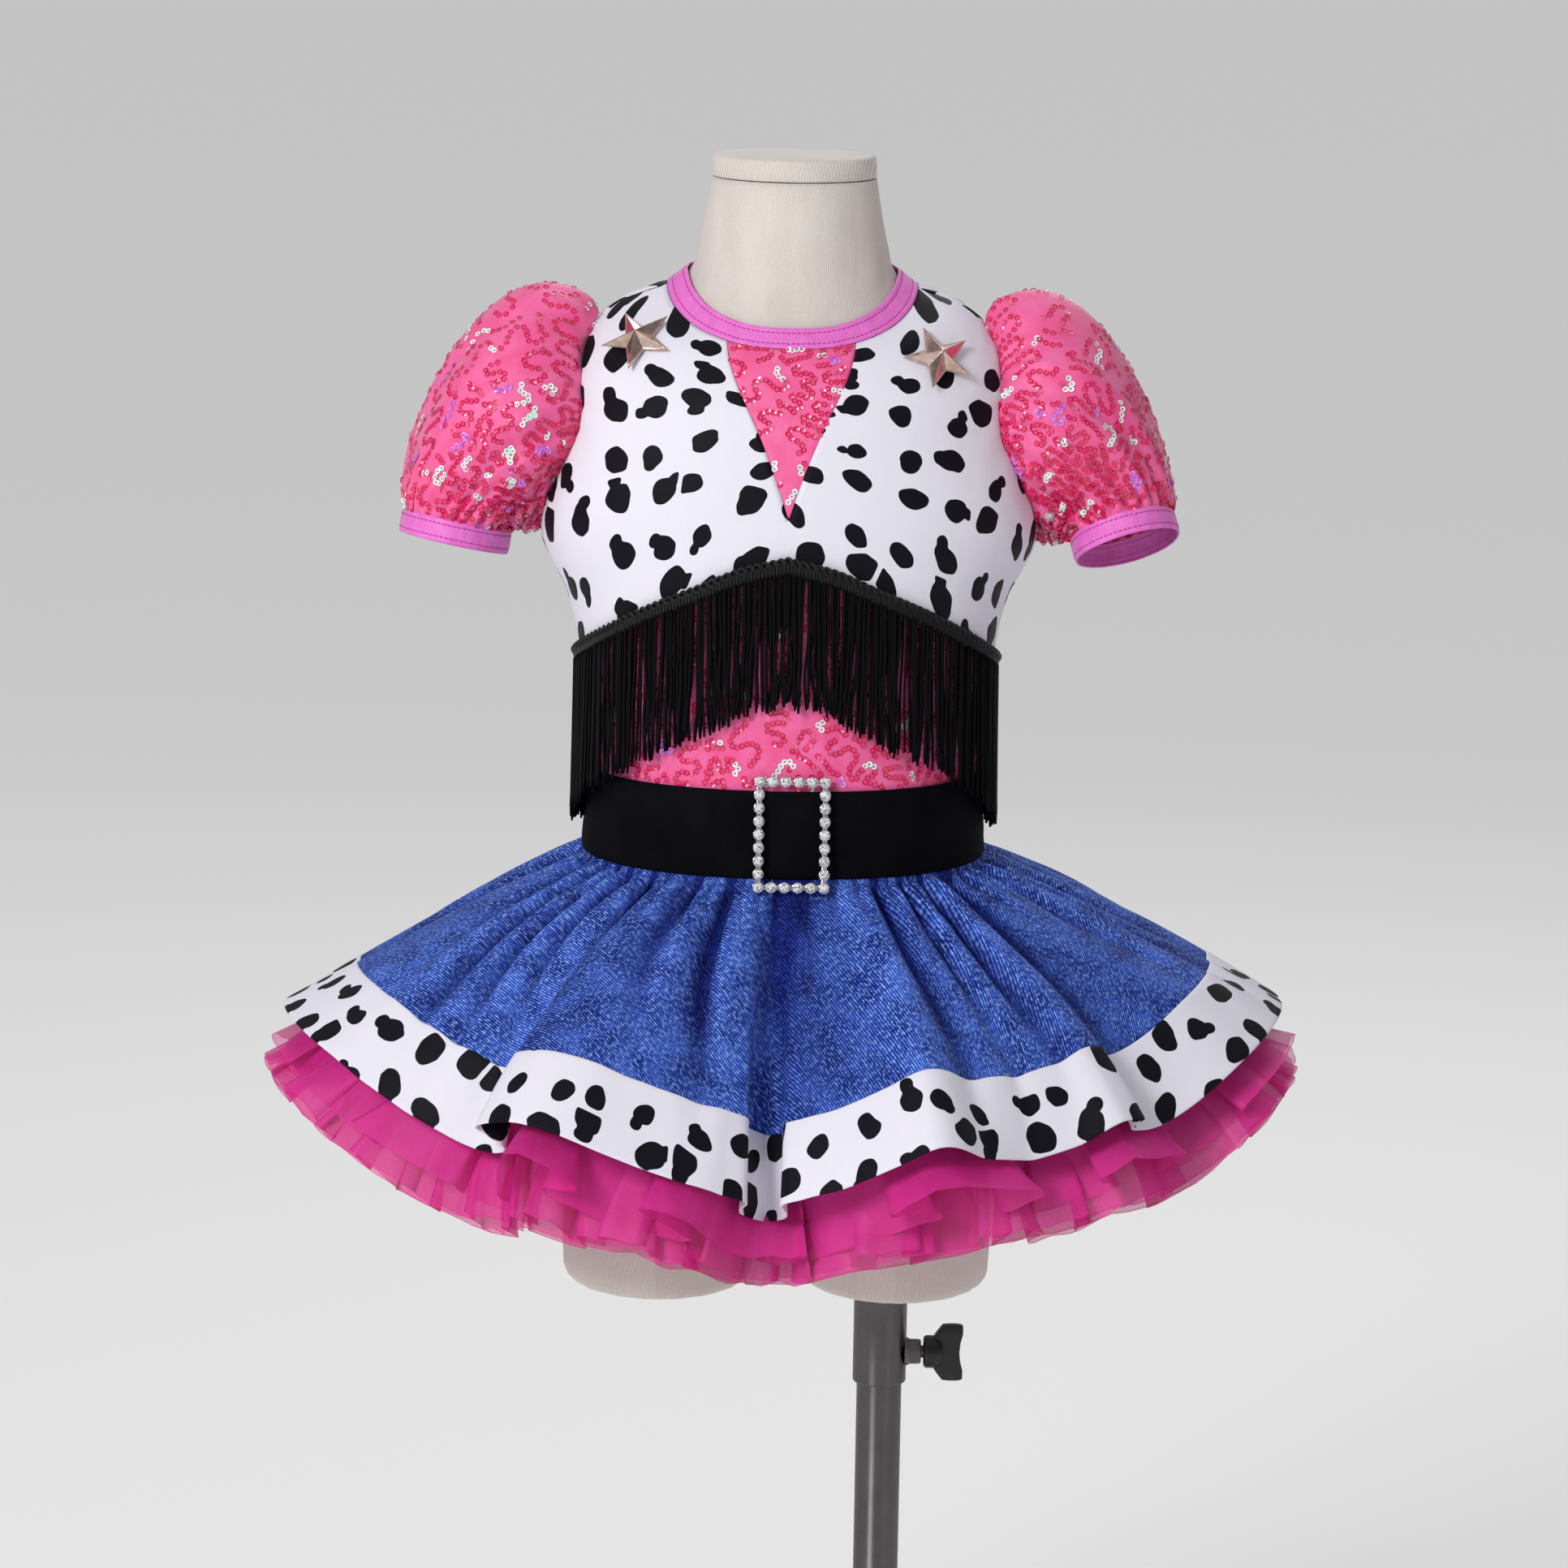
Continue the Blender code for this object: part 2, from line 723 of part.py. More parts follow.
def build_sleeves():
    for label, cuff in CUFFS.items():
        rows = sleeve_rows(cuff)
        cuff_rows = [cuff_ring(cuff, drop) for drop in (0.0, BINDING_WIDTH)]
        if cuff[0] > 0:
            rows = [row[::-1] for row in rows]
            cuff_rows = [row[::-1] for row in cuff_rows]
        cloth_wall(f"sleeve_{label}", rows, True, STRETCH_CLOTH, SEQUIN_CLOTH)
        cloth_wall(f"cuff_{label}", cuff_rows, True, BINDING_CLOTH, BINDING)


def build_belt():
    """Broad cloth belt over the waist seam."""
    turns = [2 * math.pi * j / FORM_COLUMNS for j in range(FORM_COLUMNS)]
    rows = [
        [body_point(turn, station_at(turn, height), OVER_LIFT) for turn in turns]
        for height in (BELT_BOTTOM, BELT_TOP)
    ]
    cloth_wall("belt", rows, True, BELT_CLOTH, BELT)


@functools.lru_cache(maxsize=None)
def waist_size(height):
    """Half width, front depth and back depth of the form at a height near the waist."""
    return tuple(
        np.linalg.norm(skin_point(turn, station_at(turn, height))[:2]) for turn in (SIDE, 0.0, math.pi)
    )


def waist_point(direction, height, lift):
    """A point of the waist where cloth that hangs out in this direction begins."""
    across, along = math.sin(direction), math.cos(direction)
    half_width, front, back = waist_size(height)
    power = 2 / BODY_RINGS["belt_low"][-1]
    depth = front if along > 0 else back
    x = (half_width + lift) * math.copysign(abs(across) ** power, across)
    y = -(depth + lift) * math.copysign(abs(along) ** power, along)
    return np.array([x, y, height])


def skirt_droop(direction):
    return smooth_table(direction, *zip(*SKIRT_FOLDS), 360)


def start_droop(direction, droop, least):
    """How steeply the cloth leaves the waist: steeper at the front, where the buckle lies over it."""
    turn = (direction + 180) % 360 - 180
    buckle = 26 * math.exp(-((turn / 14) ** 2))
    return least + 0.3 * max(droop - 30, 0) + buckle


def hanging_point(direction, height, lift, length, droop, least, share):
    """A point of hanging cloth, on an arc that leaves the waist flatter than it ends."""
    start = math.radians(start_droop(direction, droop, least))
    end = 2 * math.radians(droop) - start
    bend = end - start
    if abs(bend) < 1e-4:
        bend = 1e-4
    out = length / bend * (math.sin(start + bend * share) - math.sin(start))
    down = length / bend * (math.cos(start) - math.cos(start + bend * share))
    angle = math.radians(direction)
    root = waist_point(angle, height, lift)
    return root + np.array([out * math.sin(angle), -out * math.cos(angle), -down])


def skirt_directions():
    """Columns of the skirt: each fold of the table and places between it and the next, evenly spread."""
    knots = [row[0] for row in SKIRT_FOLDS]
    knots.append(knots[0] + 360)
    directions = []
    for low, high in zip(knots, knots[1:]):
        parts = max(2, round((high - low) / 5.6))
        directions += [low + (high - low) * k / parts for k in range(parts)]
    return directions


def skirt_rows(shares):
    directions = skirt_directions()
    rows = []
    for share in shares:
        gather = 0.0011 * math.sin(math.pi * min(share / 0.45, 1.0))
        row = []
        for j, direction in enumerate(directions):
            point = hanging_point(
                direction, SKIRT_HEIGHT, OVER_LIFT, SKIRT_LENGTH, skirt_droop(direction), 19.0, share
            )
            point[2] += gather * math.cos(math.pi * j)
            row.append(point)
        rows.append(row)
    return rows[::-1]


def build_skirt():
    """Denim skirt gathered under the belt, and the spotted band sewn to its hem."""
    join = DENIM_LENGTH / SKIRT_LENGTH
    gap = SEAM_GAP / SKIRT_LENGTH
    cloth_wall("skirt", skirt_rows((0.0, 0.14, 0.34, 0.55, join)), True, STRETCH_CLOTH, DENIM)
    cloth_wall("skirt_border", skirt_rows((join + gap, 0.88, 1.0)), True, STRETCH_CLOTH, PRINT)


def tulle_rows(height, length, change, clear, wave, waves, least):
    """A stiff ruffle with box folds of uneven width, always below the skirt that it holds out."""
    rows = []
    columns = waves * 4
    directions, lifts = [], []
    for j in range(columns):
        fold = j // 4
        directions.append(360 * (j + 0.35 * uneven(fold + waves)) / columns)
        lifts.append((-1, -0.7, 1, 0.8)[j % 4] * (0.75 + 0.25 * uneven(fold + 3 * waves)))
    for share in (0.0, 0.3, 0.65, 1.0):
        row = []
        for direction, lift in zip(directions, lifts):
            over = max(skirt_droop(direction + turn) for turn in (-3, -1.5, 0, 1.5, 3))
            turn = abs((direction + 180) % 360 - 180)
            hang = smooth_table(turn, *zip(*TULLE_HANG))
            droop = max(hang + change, over + clear) - wave * lift
            row.append(hanging_point(direction, height, OVER_LIFT, length, droop, least, share))
        rows.append(row)
    return rows[::-1]


def build_tulle():
    for name, layer in TULLE_LAYERS.items():
        cloth_wall(name, tulle_rows(*layer), True, TULLE_WALL, TULLE)


def header_point(azimuth, rise, lift):
    station = seam_station(azimuth) - 0.0020 + rise
    return Vector(body_point(azimuth, station, lift))


def strand_reach(azimuth, root, out, drop):
    """How far out a strand's tip lies, so that the straight strand just clears what is below it."""
    reach = 0.0006
    for part in (0.3, 0.6, 0.8, 1.0):
        height = root.z - drop * part
        lift = OVER_LIFT + STRAND_WIDTH
        if height < BELT_TOP + 0.004:
            lift += BELT_CLOTH
        below = Vector(body_point(azimuth, station_at(azimuth, height), lift))
        reach = max(reach, (below - root).dot(out) / part)
    return reach


def build_fringe():
    """Fringe: strands drawn down out of the foot of a narrow header that covers the seam."""
    stretches = STRANDS_A_HALF // ROOTS_A_STRETCH
    columns = 2 * STRANDS_A_HALF
    for name, middle in (("fringe_front", 0.0), ("fringe_back", math.pi)):
        reach = SIDE - 0.006
        stops = [middle - reach + 2 * reach * k / stretches for k in range(stretches + 1)]
        edges = {}
        inside = OVER_LIFT + SEAM_GAP
        for key, rise, lift in (
            ("low_in", 0.0, inside),
            ("low_out", 0.0, inside + HEADER_THICKNESS),
            ("high_in", HEADER_HEIGHT, inside),
            ("high_out", HEADER_HEIGHT, inside + HEADER_THICKNESS),
        ):
            corners = [header_point(stop, rise, lift) for stop in stops]
            edges[key] = []
            for j in range(columns + 1):
                place = j / columns * stretches
                k = min(int(place), stretches - 1)
                edges[key].append(corners[k].lerp(corners[k + 1], place - k))
        order = ("low_in", "low_out", "high_out", "high_in")
        vertices = [edges[key][j] for j in range(columns + 1) for key in order]
        faces = []
        for j in range(columns):
            a, b = 4 * j, 4 * (j + 1)
            faces += [
                (a + 1, b + 1, b + 2, a + 2),
                (a + 2, b + 2, b + 3, a + 3),
                (a + 3, b + 3, b, a),
            ]
            if j % 2:
                faces.append((a, b, b + 1, a + 1))
                continue
            azimuth = middle - reach + 2 * reach * (j + 0.5) / columns
            root = sum((vertices[k] for k in (a, a + 1, b, b + 1)), Vector()) / 4
            out = Vector(skin_normal(azimuth, seam_station(azimuth)))
            out.z = 0
            out.normalize()
            along = Vector((-out.y, out.x, 0))
            drop = strand_length(azimuth) * (1 + 0.03 * uneven(j))
            tip = root + Vector((0, 0, -drop))
            tip += out * (strand_reach(azimuth, root, out, drop) + 0.0005 * (1 + uneven(j + 7)))
            tip += along * (0.0008 * uneven(j + 31))
            first = len(vertices)
            for across, depth in ((-1, -1), (-1, 1), (1, 1), (1, -1)):
                vertices.append(tip + (along * across + out * depth) * STRAND_WIDTH * 0.42)
            corners = (a, a + 1, b + 1, b)
            for k in range(4):
                n = (k + 1) % 4
                faces.append((corners[n], corners[k], first + k, first + n))
            faces.append((first, first + 1, first + 2, first + 3))
        faces.append((0, 1, 2, 3))
        last = 4 * columns
        faces.append((last, last + 3, last + 2, last + 1))
        obj = new_object(name, vertices, faces, FRINGE)
        shape = bmesh.new()
        shape.from_mesh(obj.data)
        bmesh.ops.recalc_face_normals(shape, faces=shape.faces)
        shape.to_mesh(obj.data)
        shape.free()


def build_buckle():
    """Rectangular buckle: a flat bar with a ring of claw-set stones on it, leaning out at its foot."""
    across, down = BUCKLE_STONES
    half_width = (across - 1) * STONE_PITCH / 2
    half_height = (down - 1) * STONE_PITCH / 2
    outer = bmesh.new()
    bmesh.ops.create_cube(outer, size=1.0)
    size = (2 * half_width + BUCKLE_BAR, BUCKLE_PLATE, 2 * half_height + BUCKLE_BAR)
    bmesh.ops.scale(outer, vec=size, verts=outer.verts)
    buckle = object_from_bmesh("buckle", outer, STONES)
    inner = bmesh.new()
    bmesh.ops.create_cube(inner, size=1.0)
    window = (2 * half_width - BUCKLE_BAR, 4 * BUCKLE_PLATE, 2 * half_height - BUCKLE_BAR)
    bmesh.ops.scale(inner, vec=window, verts=inner.verts)
    hole = object_from_bmesh("buckle_window_cutter", inner, None, CUTTERS)
    places = [(i, k) for i in range(across) for k in range(down) if i in (0, across - 1) or k in (0, down - 1)]
    stones = bmesh.new()
    for i, k in places:
        seat = Vector((-half_width + i * STONE_PITCH, -0.0010, -half_height + k * STONE_PITCH))
        matrix = Matrix.Translation(seat) @ Matrix.Rotation(math.pi / 2, 4, "X")
        bmesh.ops.create_cone(
            stones,
            cap_ends=True,
            segments=4,
            radius1=STONE_RADIUS,
            radius2=STONE_RADIUS * 0.6,
            depth=0.0026,
            matrix=matrix,
        )
    setting = object_from_bmesh("buckle_stones_shape", stones, None, CUTTERS)
    add_boolean(buckle, hole, "DIFFERENCE")
    add_boolean(buckle, setting, "UNION")
    belt = body_point(0.0, station_at(0.0, BUCKLE_CENTRE_Z), OVER_LIFT + BELT_CLOTH)
    centre = (BUCKLE_CENTRE_X, belt[1] - BUCKLE_STAND_OFF, BUCKLE_CENTRE_Z)
    place = Matrix.Translation(centre) @ Matrix.Rotation(-BUCKLE_LEAN, 4, "X")
    for obj in (buckle, hole, setting):
        obj.data.transform(place)


def build_stars():
    """Five-pointed metal stars with raised ridges, pinned to the bodice front."""
    inner = STAR_RADIUS * 0.42
    for name, (azimuth, share, turn) in STARS.items():
        azimuth = math.radians(azimuth)
        station = bodice_station(azimuth, share)
        normal = Vector(skin_normal(azimuth, station))
        seat = Vector(body_point(azimuth, station, SKIN_GAP + STRETCH_CLOTH + SEAM_GAP))
        rim = []
        for k in range(10):
            angle = math.radians(90 + 36 * k + turn)
            radius = STAR_RADIUS if k % 2 == 0 else inner
            rim.append((radius * math.cos(angle), radius * math.sin(angle)))
        vertices = [(x, y, 0) for x, y in rim] + [(x, y, STAR_EDGE) for x, y in rim]
        vertices.append((0, 0, STAR_HEIGHT))
        faces = [tuple(reversed(range(10)))]
        for k in range(10):
            n = (k + 1) % 10
            faces += [(k, n, 10 + n, 10 + k), (10 + k, 10 + n, 20)]
        star = new_object(name, vertices, faces, METAL)
        upright = Vector((0, 0, 1))
        up = (upright - normal * upright.dot(normal)).normalized()
        right = up.cross(normal)
        frame = Matrix((right, up, normal)).transposed().to_4x4()
        star.data.transform(Matrix.Translation(seat) @ frame)


def turned(name, profile, material, segments=36):
    """A turned shape about the pole's axis from a profile that begins and ends on it."""
    mesh = bpy.data.meshes.new(name)
    mesh.from_pydata([(r, 0, z) for r, z in profile], [(k, k + 1) for k in range(len(profile) - 1)], [])
    obj = bpy.data.objects.new(name, mesh)
    PARTS.objects.link(obj)
    mesh.materials.append(material)
    obj.location = (POLE_X, 0, 0)
    screw = obj.modifiers.new("Turned", "SCREW")
    screw.steps = segments
    screw.render_steps = segments
    screw.use_merge_vertices = True
    screw.merge_threshold = 1e-5
    screw.use_smooth_shade = True
    return obj


def build_stand():
    """Round foot plate with a socket, the inner pole, and the tube with its clamp boss."""
    hole = POLE_RADIUS + SEAM_GAP
    turned(
        "stand_base",
        (
            (0, SOCKET_FLOOR),
            (hole, SOCKET_FLOOR),
            (hole, SOCKET_TOP),
            (SOCKET_RADIUS, SOCKET_TOP),
            (SOCKET_RADIUS, PLATE_THICKNESS),
            (PLATE_RADIUS - 0.003, PLATE_THICKNESS - 0.001),
            (PLATE_RADIUS, PLATE_THICKNESS - 0.004),
            (PLATE_RADIUS, 0),
            (0, 0),
        ),
        CHROME,
    )
    cylinder(
        "stand_pole",
        POLE_RADIUS,
        (POLE_X, 0, SOCKET_FLOOR + SEAM_GAP),
        (POLE_X, 0, POLE_TOP),
        28,
        CHROME,
    )
    tube = cylinder("pole_sleeve", TUBE_OUTER, (POLE_X, 0, TUBE_BOTTOM), (POLE_X, 0, TUBE_TOP), 28, CHROME)
    boss_end = POLE_X + TUBE_OUTER + CLAMP_REACH
    boss = cylinder(
        "clamp_boss_shape",
        CLAMP_RADIUS,
        (POLE_X + TUBE_INNER + 0.0005, 0, CLAMP_HEIGHT),
        (boss_end, 0, CLAMP_HEIGHT),
        24,
        None,
        CUTTERS,
    )
    inside = cylinder(
        "tube_inside_cutter",
        TUBE_INNER,
        (POLE_X, 0, TUBE_BOTTOM - 0.01),
        (POLE_X, 0, TUBE_TOP + 0.01),
        28,
        None,
        CUTTERS,
    )
    thread = cylinder(
        "screw_hole_cutter",
        SCREW_RADIUS + SEAM_GAP,
        (POLE_X + TUBE_INNER - 0.002, 0, CLAMP_HEIGHT),
        (boss_end + 0.01, 0, CLAMP_HEIGHT),
        20,
        None,
        CUTTERS,
    )
    add_boolean(tube, boss, "UNION")
    add_boolean(tube, inside, "DIFFERENCE")
    add_boolean(tube, thread, "DIFFERENCE")


def build_knob():
    """Wing knob on its clamping screw, turning about the screw's axis."""
    start = POLE_X + POLE_RADIUS + 0.0005
    face = POLE_X + TUBE_OUTER + CLAMP_REACH + 0.0012
    hub_length, wing_length = 0.0060, 0.0115
    at = (face + hub_length + wing_length / 2, 0, CLAMP_HEIGHT)
    wing = bmesh.new()
    bmesh.ops.create_cube(wing, size=1.0)
    bmesh.ops.scale(wing, vec=(wing_length, 0.0060, 0.0250), verts=wing.verts)
    for vertex in wing.verts:
        if vertex.co.x < 0:
            vertex.co.z *= 0.72
    bmesh.ops.translate(wing, vec=at, verts=wing.verts)
    bmesh.ops.bevel(
        wing, geom=wing.edges, offset=0.0012, segments=1, affect="EDGES", profile=0.6
    )
    knob = object_from_bmesh("clamp_knob", wing, BLACK_PLASTIC)
    hub = cylinder(
        "knob_hub_shape",
        0.0079,
        (face, 0, CLAMP_HEIGHT),
        (face + hub_length + 0.003, 0, CLAMP_HEIGHT),
        28,
        None,
        CUTTERS,
    )
    screw = cylinder(
        "knob_screw_shape",
        SCREW_RADIUS,
        (start, 0, CLAMP_HEIGHT),
        (face + 0.002, 0, CLAMP_HEIGHT),
        20,
        None,
        CUTTERS,
    )
    add_boolean(knob, hub, "UNION")
    add_boolean(knob, screw, "UNION")


clear_scene()
PARTS = new_collection("dance_dress_on_form")
CUTTERS = new_collection("cutters")

LINEN = new_material("linen", (0.80, 0.75, 0.70), 0.85)
PRINT = new_material("spotted_print", (0.90, 0.88, 0.93), 0.6)
SEQUIN_CLOTH = new_material("sequin_cloth", (1.0, 0.10, 0.26), 0.4)
BINDING = new_material("binding", (0.80, 0.09, 0.60), 0.55)
BELT = new_material("belt_cloth", (0.008, 0.008, 0.010), 0.7)
FRINGE = new_material("fringe", (0.006, 0.006, 0.008), 0.6)
DENIM = new_material("denim_print", (0.05, 0.13, 0.37), 0.75)
TULLE = new_material("tulle", (0.80, 0.03, 0.32), 0.5, alpha=0.7)
STONES = new_material("rhinestones", (0.85, 0.85, 0.88), 0.15, 0.6)
METAL = new_material("star_metal", (0.80, 0.58, 0.50), 0.2, 1.0)
CHROME = new_material("chrome", (0.65, 0.65, 0.66), 0.12, 1.0)
BLACK_PLASTIC = new_material("black_plastic", (0.01, 0.01, 0.012), 0.45)

build_form()
build_bodice_front()
build_bodice_back()
build_v_insert()
build_midriff()
build_neck_binding()
build_sleeves()
build_belt()
build_skirt()
build_tulle()
build_fringe()
build_buckle()
build_stars()
build_stand()
build_knob()
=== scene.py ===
import math
from functools import partial

import bmesh
import bpy
import numpy as np
from mathutils import Matrix, Vector


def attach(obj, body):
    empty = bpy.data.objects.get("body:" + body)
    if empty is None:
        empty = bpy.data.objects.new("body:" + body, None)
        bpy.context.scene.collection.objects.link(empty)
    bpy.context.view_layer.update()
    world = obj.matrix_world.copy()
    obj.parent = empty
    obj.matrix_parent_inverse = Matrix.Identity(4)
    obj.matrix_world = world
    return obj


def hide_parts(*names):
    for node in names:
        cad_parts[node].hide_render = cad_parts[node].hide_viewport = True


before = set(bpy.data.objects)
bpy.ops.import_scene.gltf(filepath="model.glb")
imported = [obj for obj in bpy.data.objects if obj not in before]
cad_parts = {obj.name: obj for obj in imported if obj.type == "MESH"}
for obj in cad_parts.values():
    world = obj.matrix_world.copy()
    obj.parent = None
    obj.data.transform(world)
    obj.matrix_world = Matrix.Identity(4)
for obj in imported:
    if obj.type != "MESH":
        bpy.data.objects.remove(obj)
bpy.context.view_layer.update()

# The studio: a wide pale floor, lit from beneath a little, with a soft ceiling light and three lamps.
# The camera stands three metres off and looks a little down, as the dress was photographed.
def place_object(name, data):
    item = bpy.data.objects.new(name, data)
    bpy.context.collection.objects.link(item)
    return item


def shader_of(finish):
    return finish.node_tree.nodes["Principled BSDF"]


def start_finish(name, roughness, **sockets):
    """A new finish with its shader's plain numbers set on the shader."""
    finish = bpy.data.materials.new(name)
    finish.use_nodes = True
    for key, value in {"Roughness": roughness, **sockets}.items():
        shader_of(finish).inputs[key.replace("_", " ")].default_value = value
    return finish


def aim(place, target):
    return (Vector(target) - Vector(place)).to_track_quat("-Z", "Y")


bpy.context.scene.view_settings.view_transform = "Standard"
floor_mesh = bpy.data.meshes.new("studio_floor")
floor_mesh.from_pydata([(-40, -40, 0), (40, -40, 0), (40, 40, 0), (-40, 40, 0)], [], [(0, 1, 2, 3)])
floor_looks = {"Base_Color": (0.72, 0.715, 0.71, 1), "Emission_Color": (1, 0.995, 0.99, 1), "Emission_Strength": 0.24}
floor_mesh.materials.append(start_finish("pale_floor", 0.9, **floor_looks))
place_object("studio_floor", floor_mesh)

room = bpy.data.worlds.new("pale_room")
bpy.context.scene.world = room
room.use_nodes = True
room.node_tree.nodes["Background"].inputs["Color"].default_value = (0.95, 0.96, 1.0, 1)
room.node_tree.nodes["Background"].inputs["Strength"].default_value = 0.25
for lamp_name, lamp_place, lamp_size, lamp_power in (
    ("key_softbox", (-1.5, -2.3, 2.0), 0.9, 55),
    ("fill_softbox", (1.9, -2.2, 1.3), 1.2, 1.6),
    ("rim_softbox", (0.5, 2.2, 2.3), 1.4, 16),
):
    softbox = bpy.data.lights.new(lamp_name, "AREA")
    softbox.size, softbox.energy = lamp_size, lamp_power
    lamp = place_object(lamp_name, softbox)
    lamp.location = lamp_place
    lamp.rotation_euler = aim(lamp_place, (0, 0, 0.66)).to_euler()
ceiling = bpy.data.lights.new("ceiling_light", "SUN")
ceiling.energy, ceiling.angle = 0.6, math.radians(100)
place_object("ceiling_light", ceiling)

camera = place_object("camera", bpy.data.cameras.new("camera"))
camera.data.sensor_width, camera.data.lens = 36, 147.76
camera_place = Vector((0, -3.0, 1.186))
camera_turn = aim(camera_place, (0, 0, 0.639)).to_matrix().to_4x4() @ Matrix.Rotation(math.radians(1.0), 4, "Z")
camera.matrix_world = Matrix.Translation(camera_place) @ camera_turn
bpy.context.scene.camera = camera

# The dress form: a padded headless torso with two thigh stumps, covered in ivory linen twill that is
# pulled tight and seamed down the sides, with a flat round lid on its neck.
BODY_RINGS = {
    # heights at the side, front and back, half width, depth at the front and back, squareness
    "crotch": (0.4450, 0.4450, 0.4450, 0.1025, 0.0800, 0.0820, 2.3),
    "hip": (0.5000, 0.5000, 0.5000, 0.1045, 0.0855, 0.0920, 2.2),
    "high_hip": (0.5600, 0.5600, 0.5600, 0.0985, 0.0835, 0.0860, 2.2),
    "belt_low": (0.6095, 0.6095, 0.6095, 0.0915, 0.0795, 0.0760, 2.2),
    "belt_high": (0.6495, 0.6495, 0.6495, 0.0890, 0.0765, 0.0720, 2.2),
    "ribs": (0.6950, 0.6950, 0.6950, 0.0945, 0.0758, 0.0735, 2.2),
    "chest": (0.7300, 0.7400, 0.7350, 0.1015, 0.0765, 0.0770, 2.25),
    "underarm": (0.7600, 0.7800, 0.7700, 0.1145, 0.0745, 0.0800, 2.3),
    "mid_arm": (0.8060, 0.8130, 0.8150, 0.1060, 0.0680, 0.0770, 2.3),
    "shoulder_tip": (0.8520, 0.8350, 0.8590, 0.0945, 0.0595, 0.0660, 2.25),
    "shoulder_top": (0.8675, 0.8440, 0.8720, 0.0770, 0.0545, 0.0560, 2.2),
    "neckline": (0.8745, 0.8505, 0.8790, 0.0580, 0.0492, 0.0470, 2.15),
    "neck_base": (0.8825, 0.8595, 0.8860, 0.0480, 0.0432, 0.0405, 2.1),
    "neck_low": (0.8950, 0.8780, 0.8960, 0.0443, 0.0392, 0.0380, 2.05),
    "neck_mid": (0.9110, 0.9060, 0.9110, 0.0410, 0.0378, 0.0375, 2.0),
    "neck_top": (0.9265, 0.9265, 0.9265, 0.0385, 0.0370, 0.0370, 2.0),
}
RING_TABLE = np.array(list(BODY_RINGS.values()))
RING_DIP = ((0, 1.0), (20, 0.975), (36, 0.87), (55, 0.64), (71, 0.345), (82, 0.12), (90, 0.0))
RING_RISE = ((0, 1.0), (20, 0.97), (45, 0.75), (70, 0.3), (90, 0.0))
FORM_INSET = 0.0016


def curve_between(t, start, start_slope, end, end_slope, width=1.0):
    """A smooth curve from one value to another that leaves and arrives with these slopes."""
    return (
        (2 * t**3 - 3 * t**2 + 1) * start
        + (t**3 - 2 * t**2 + t) * width * start_slope
        + (3 * t**2 - 2 * t**3) * end
        + (t**3 - t**2) * width * end_slope
    )


def smooth_table(at, rows, period=None):
    """A smooth curve through a table's rows, read at many places. With a period the table goes round."""
    knots, values = np.array(rows, float).T
    if period:
        at = (at - knots[0]) % period + knots[0]
        knots = np.concatenate([knots[-2:] - period, knots, knots[:2] + period])
        values = np.concatenate([values[-2:], values, values[:2]])
    at = np.clip(at, knots[0], knots[-1])
    k = np.clip(np.searchsorted(knots, at, side="right") - 1, 0, len(knots) - 2)
    low, high = np.maximum(k - 1, 0), np.minimum(k + 2, len(knots) - 1)
    start_slope = (values[k + 1] - values[low]) / (knots[k + 1] - knots[low])
    end_slope = (values[high] - values[k]) / (knots[high] - knots[k])
    width = knots[k + 1] - knots[k]
    return curve_between((at - knots[k]) / width, values[k], start_slope, values[k + 1], end_slope, width)


def body_rings(turns):
    """Where every ring of the form passes at each of these turns from the front."""
    side_z, front_z, back_z, half_width, front, back, power = RING_TABLE.T
    across, along = np.sin(turns)[:, None], np.cos(turns)[:, None]
    ahead = along > 0
    depth, end_z = np.where(ahead, front, back), np.where(ahead, front_z, back_z)
    radius = ((abs(across) / half_width) ** power + (abs(along) / depth) ** power) ** (-1 / power)
    turn = np.degrees(np.arccos(np.minimum(abs(along), 1.0)))
    share = np.where(ahead, smooth_table(turn, RING_DIP), smooth_table(turn, RING_RISE))
    return np.stack([radius * across, -radius * along, side_z + (end_z - side_z) * share], axis=-1)


ring_steps = np.linalg.norm(np.diff(body_rings(np.array([0.0, math.pi / 2, math.pi])), axis=1), axis=2)
STATIONS = np.concatenate([[0.0], np.cumsum(ring_steps.mean(axis=0))])
STATION = dict(zip(BODY_RINGS, STATIONS))


def bare_skin(turns, stations):
    points = body_rings(turns)
    slopes = np.gradient(points, STATIONS, axis=1)
    k = np.clip(np.searchsorted(STATIONS, stations, side="right") - 1, 0, len(STATIONS) - 2)
    width = (STATIONS[k + 1] - STATIONS[k])[:, None]
    t = (stations - STATIONS[k])[:, None] / width
    column = np.arange(len(turns))
    return curve_between(
        t, points[column, k], slopes[column, k], points[column, k + 1], slopes[column, k + 1], width
    )


def unit(vectors):
    return vectors / np.linalg.norm(vectors, axis=-1, keepdims=True)


def skin(turns, stations, lift=0.0):
    """Points that lie this far out from the form's skin, and the skin's outward directions there."""
    turns, stations, lift = np.broadcast_arrays(*(np.asarray(a, float) for a in (turns, stations, lift)))
    t, s = turns.ravel(), stations.ravel()
    inside = np.clip(s, 1e-4, STATIONS[-1] - 1e-4)
    around = bare_skin(t + 1e-3, inside) - bare_skin(t - 1e-3, inside)
    upward = bare_skin(t, inside + 1e-4) - bare_skin(t, inside - 1e-4)
    out = unit(np.cross(around, upward))
    points = bare_skin(t, s) + lift.ravel()[:, None] * out
    return points.reshape(*turns.shape, 3), out.reshape(*turns.shape, 3)


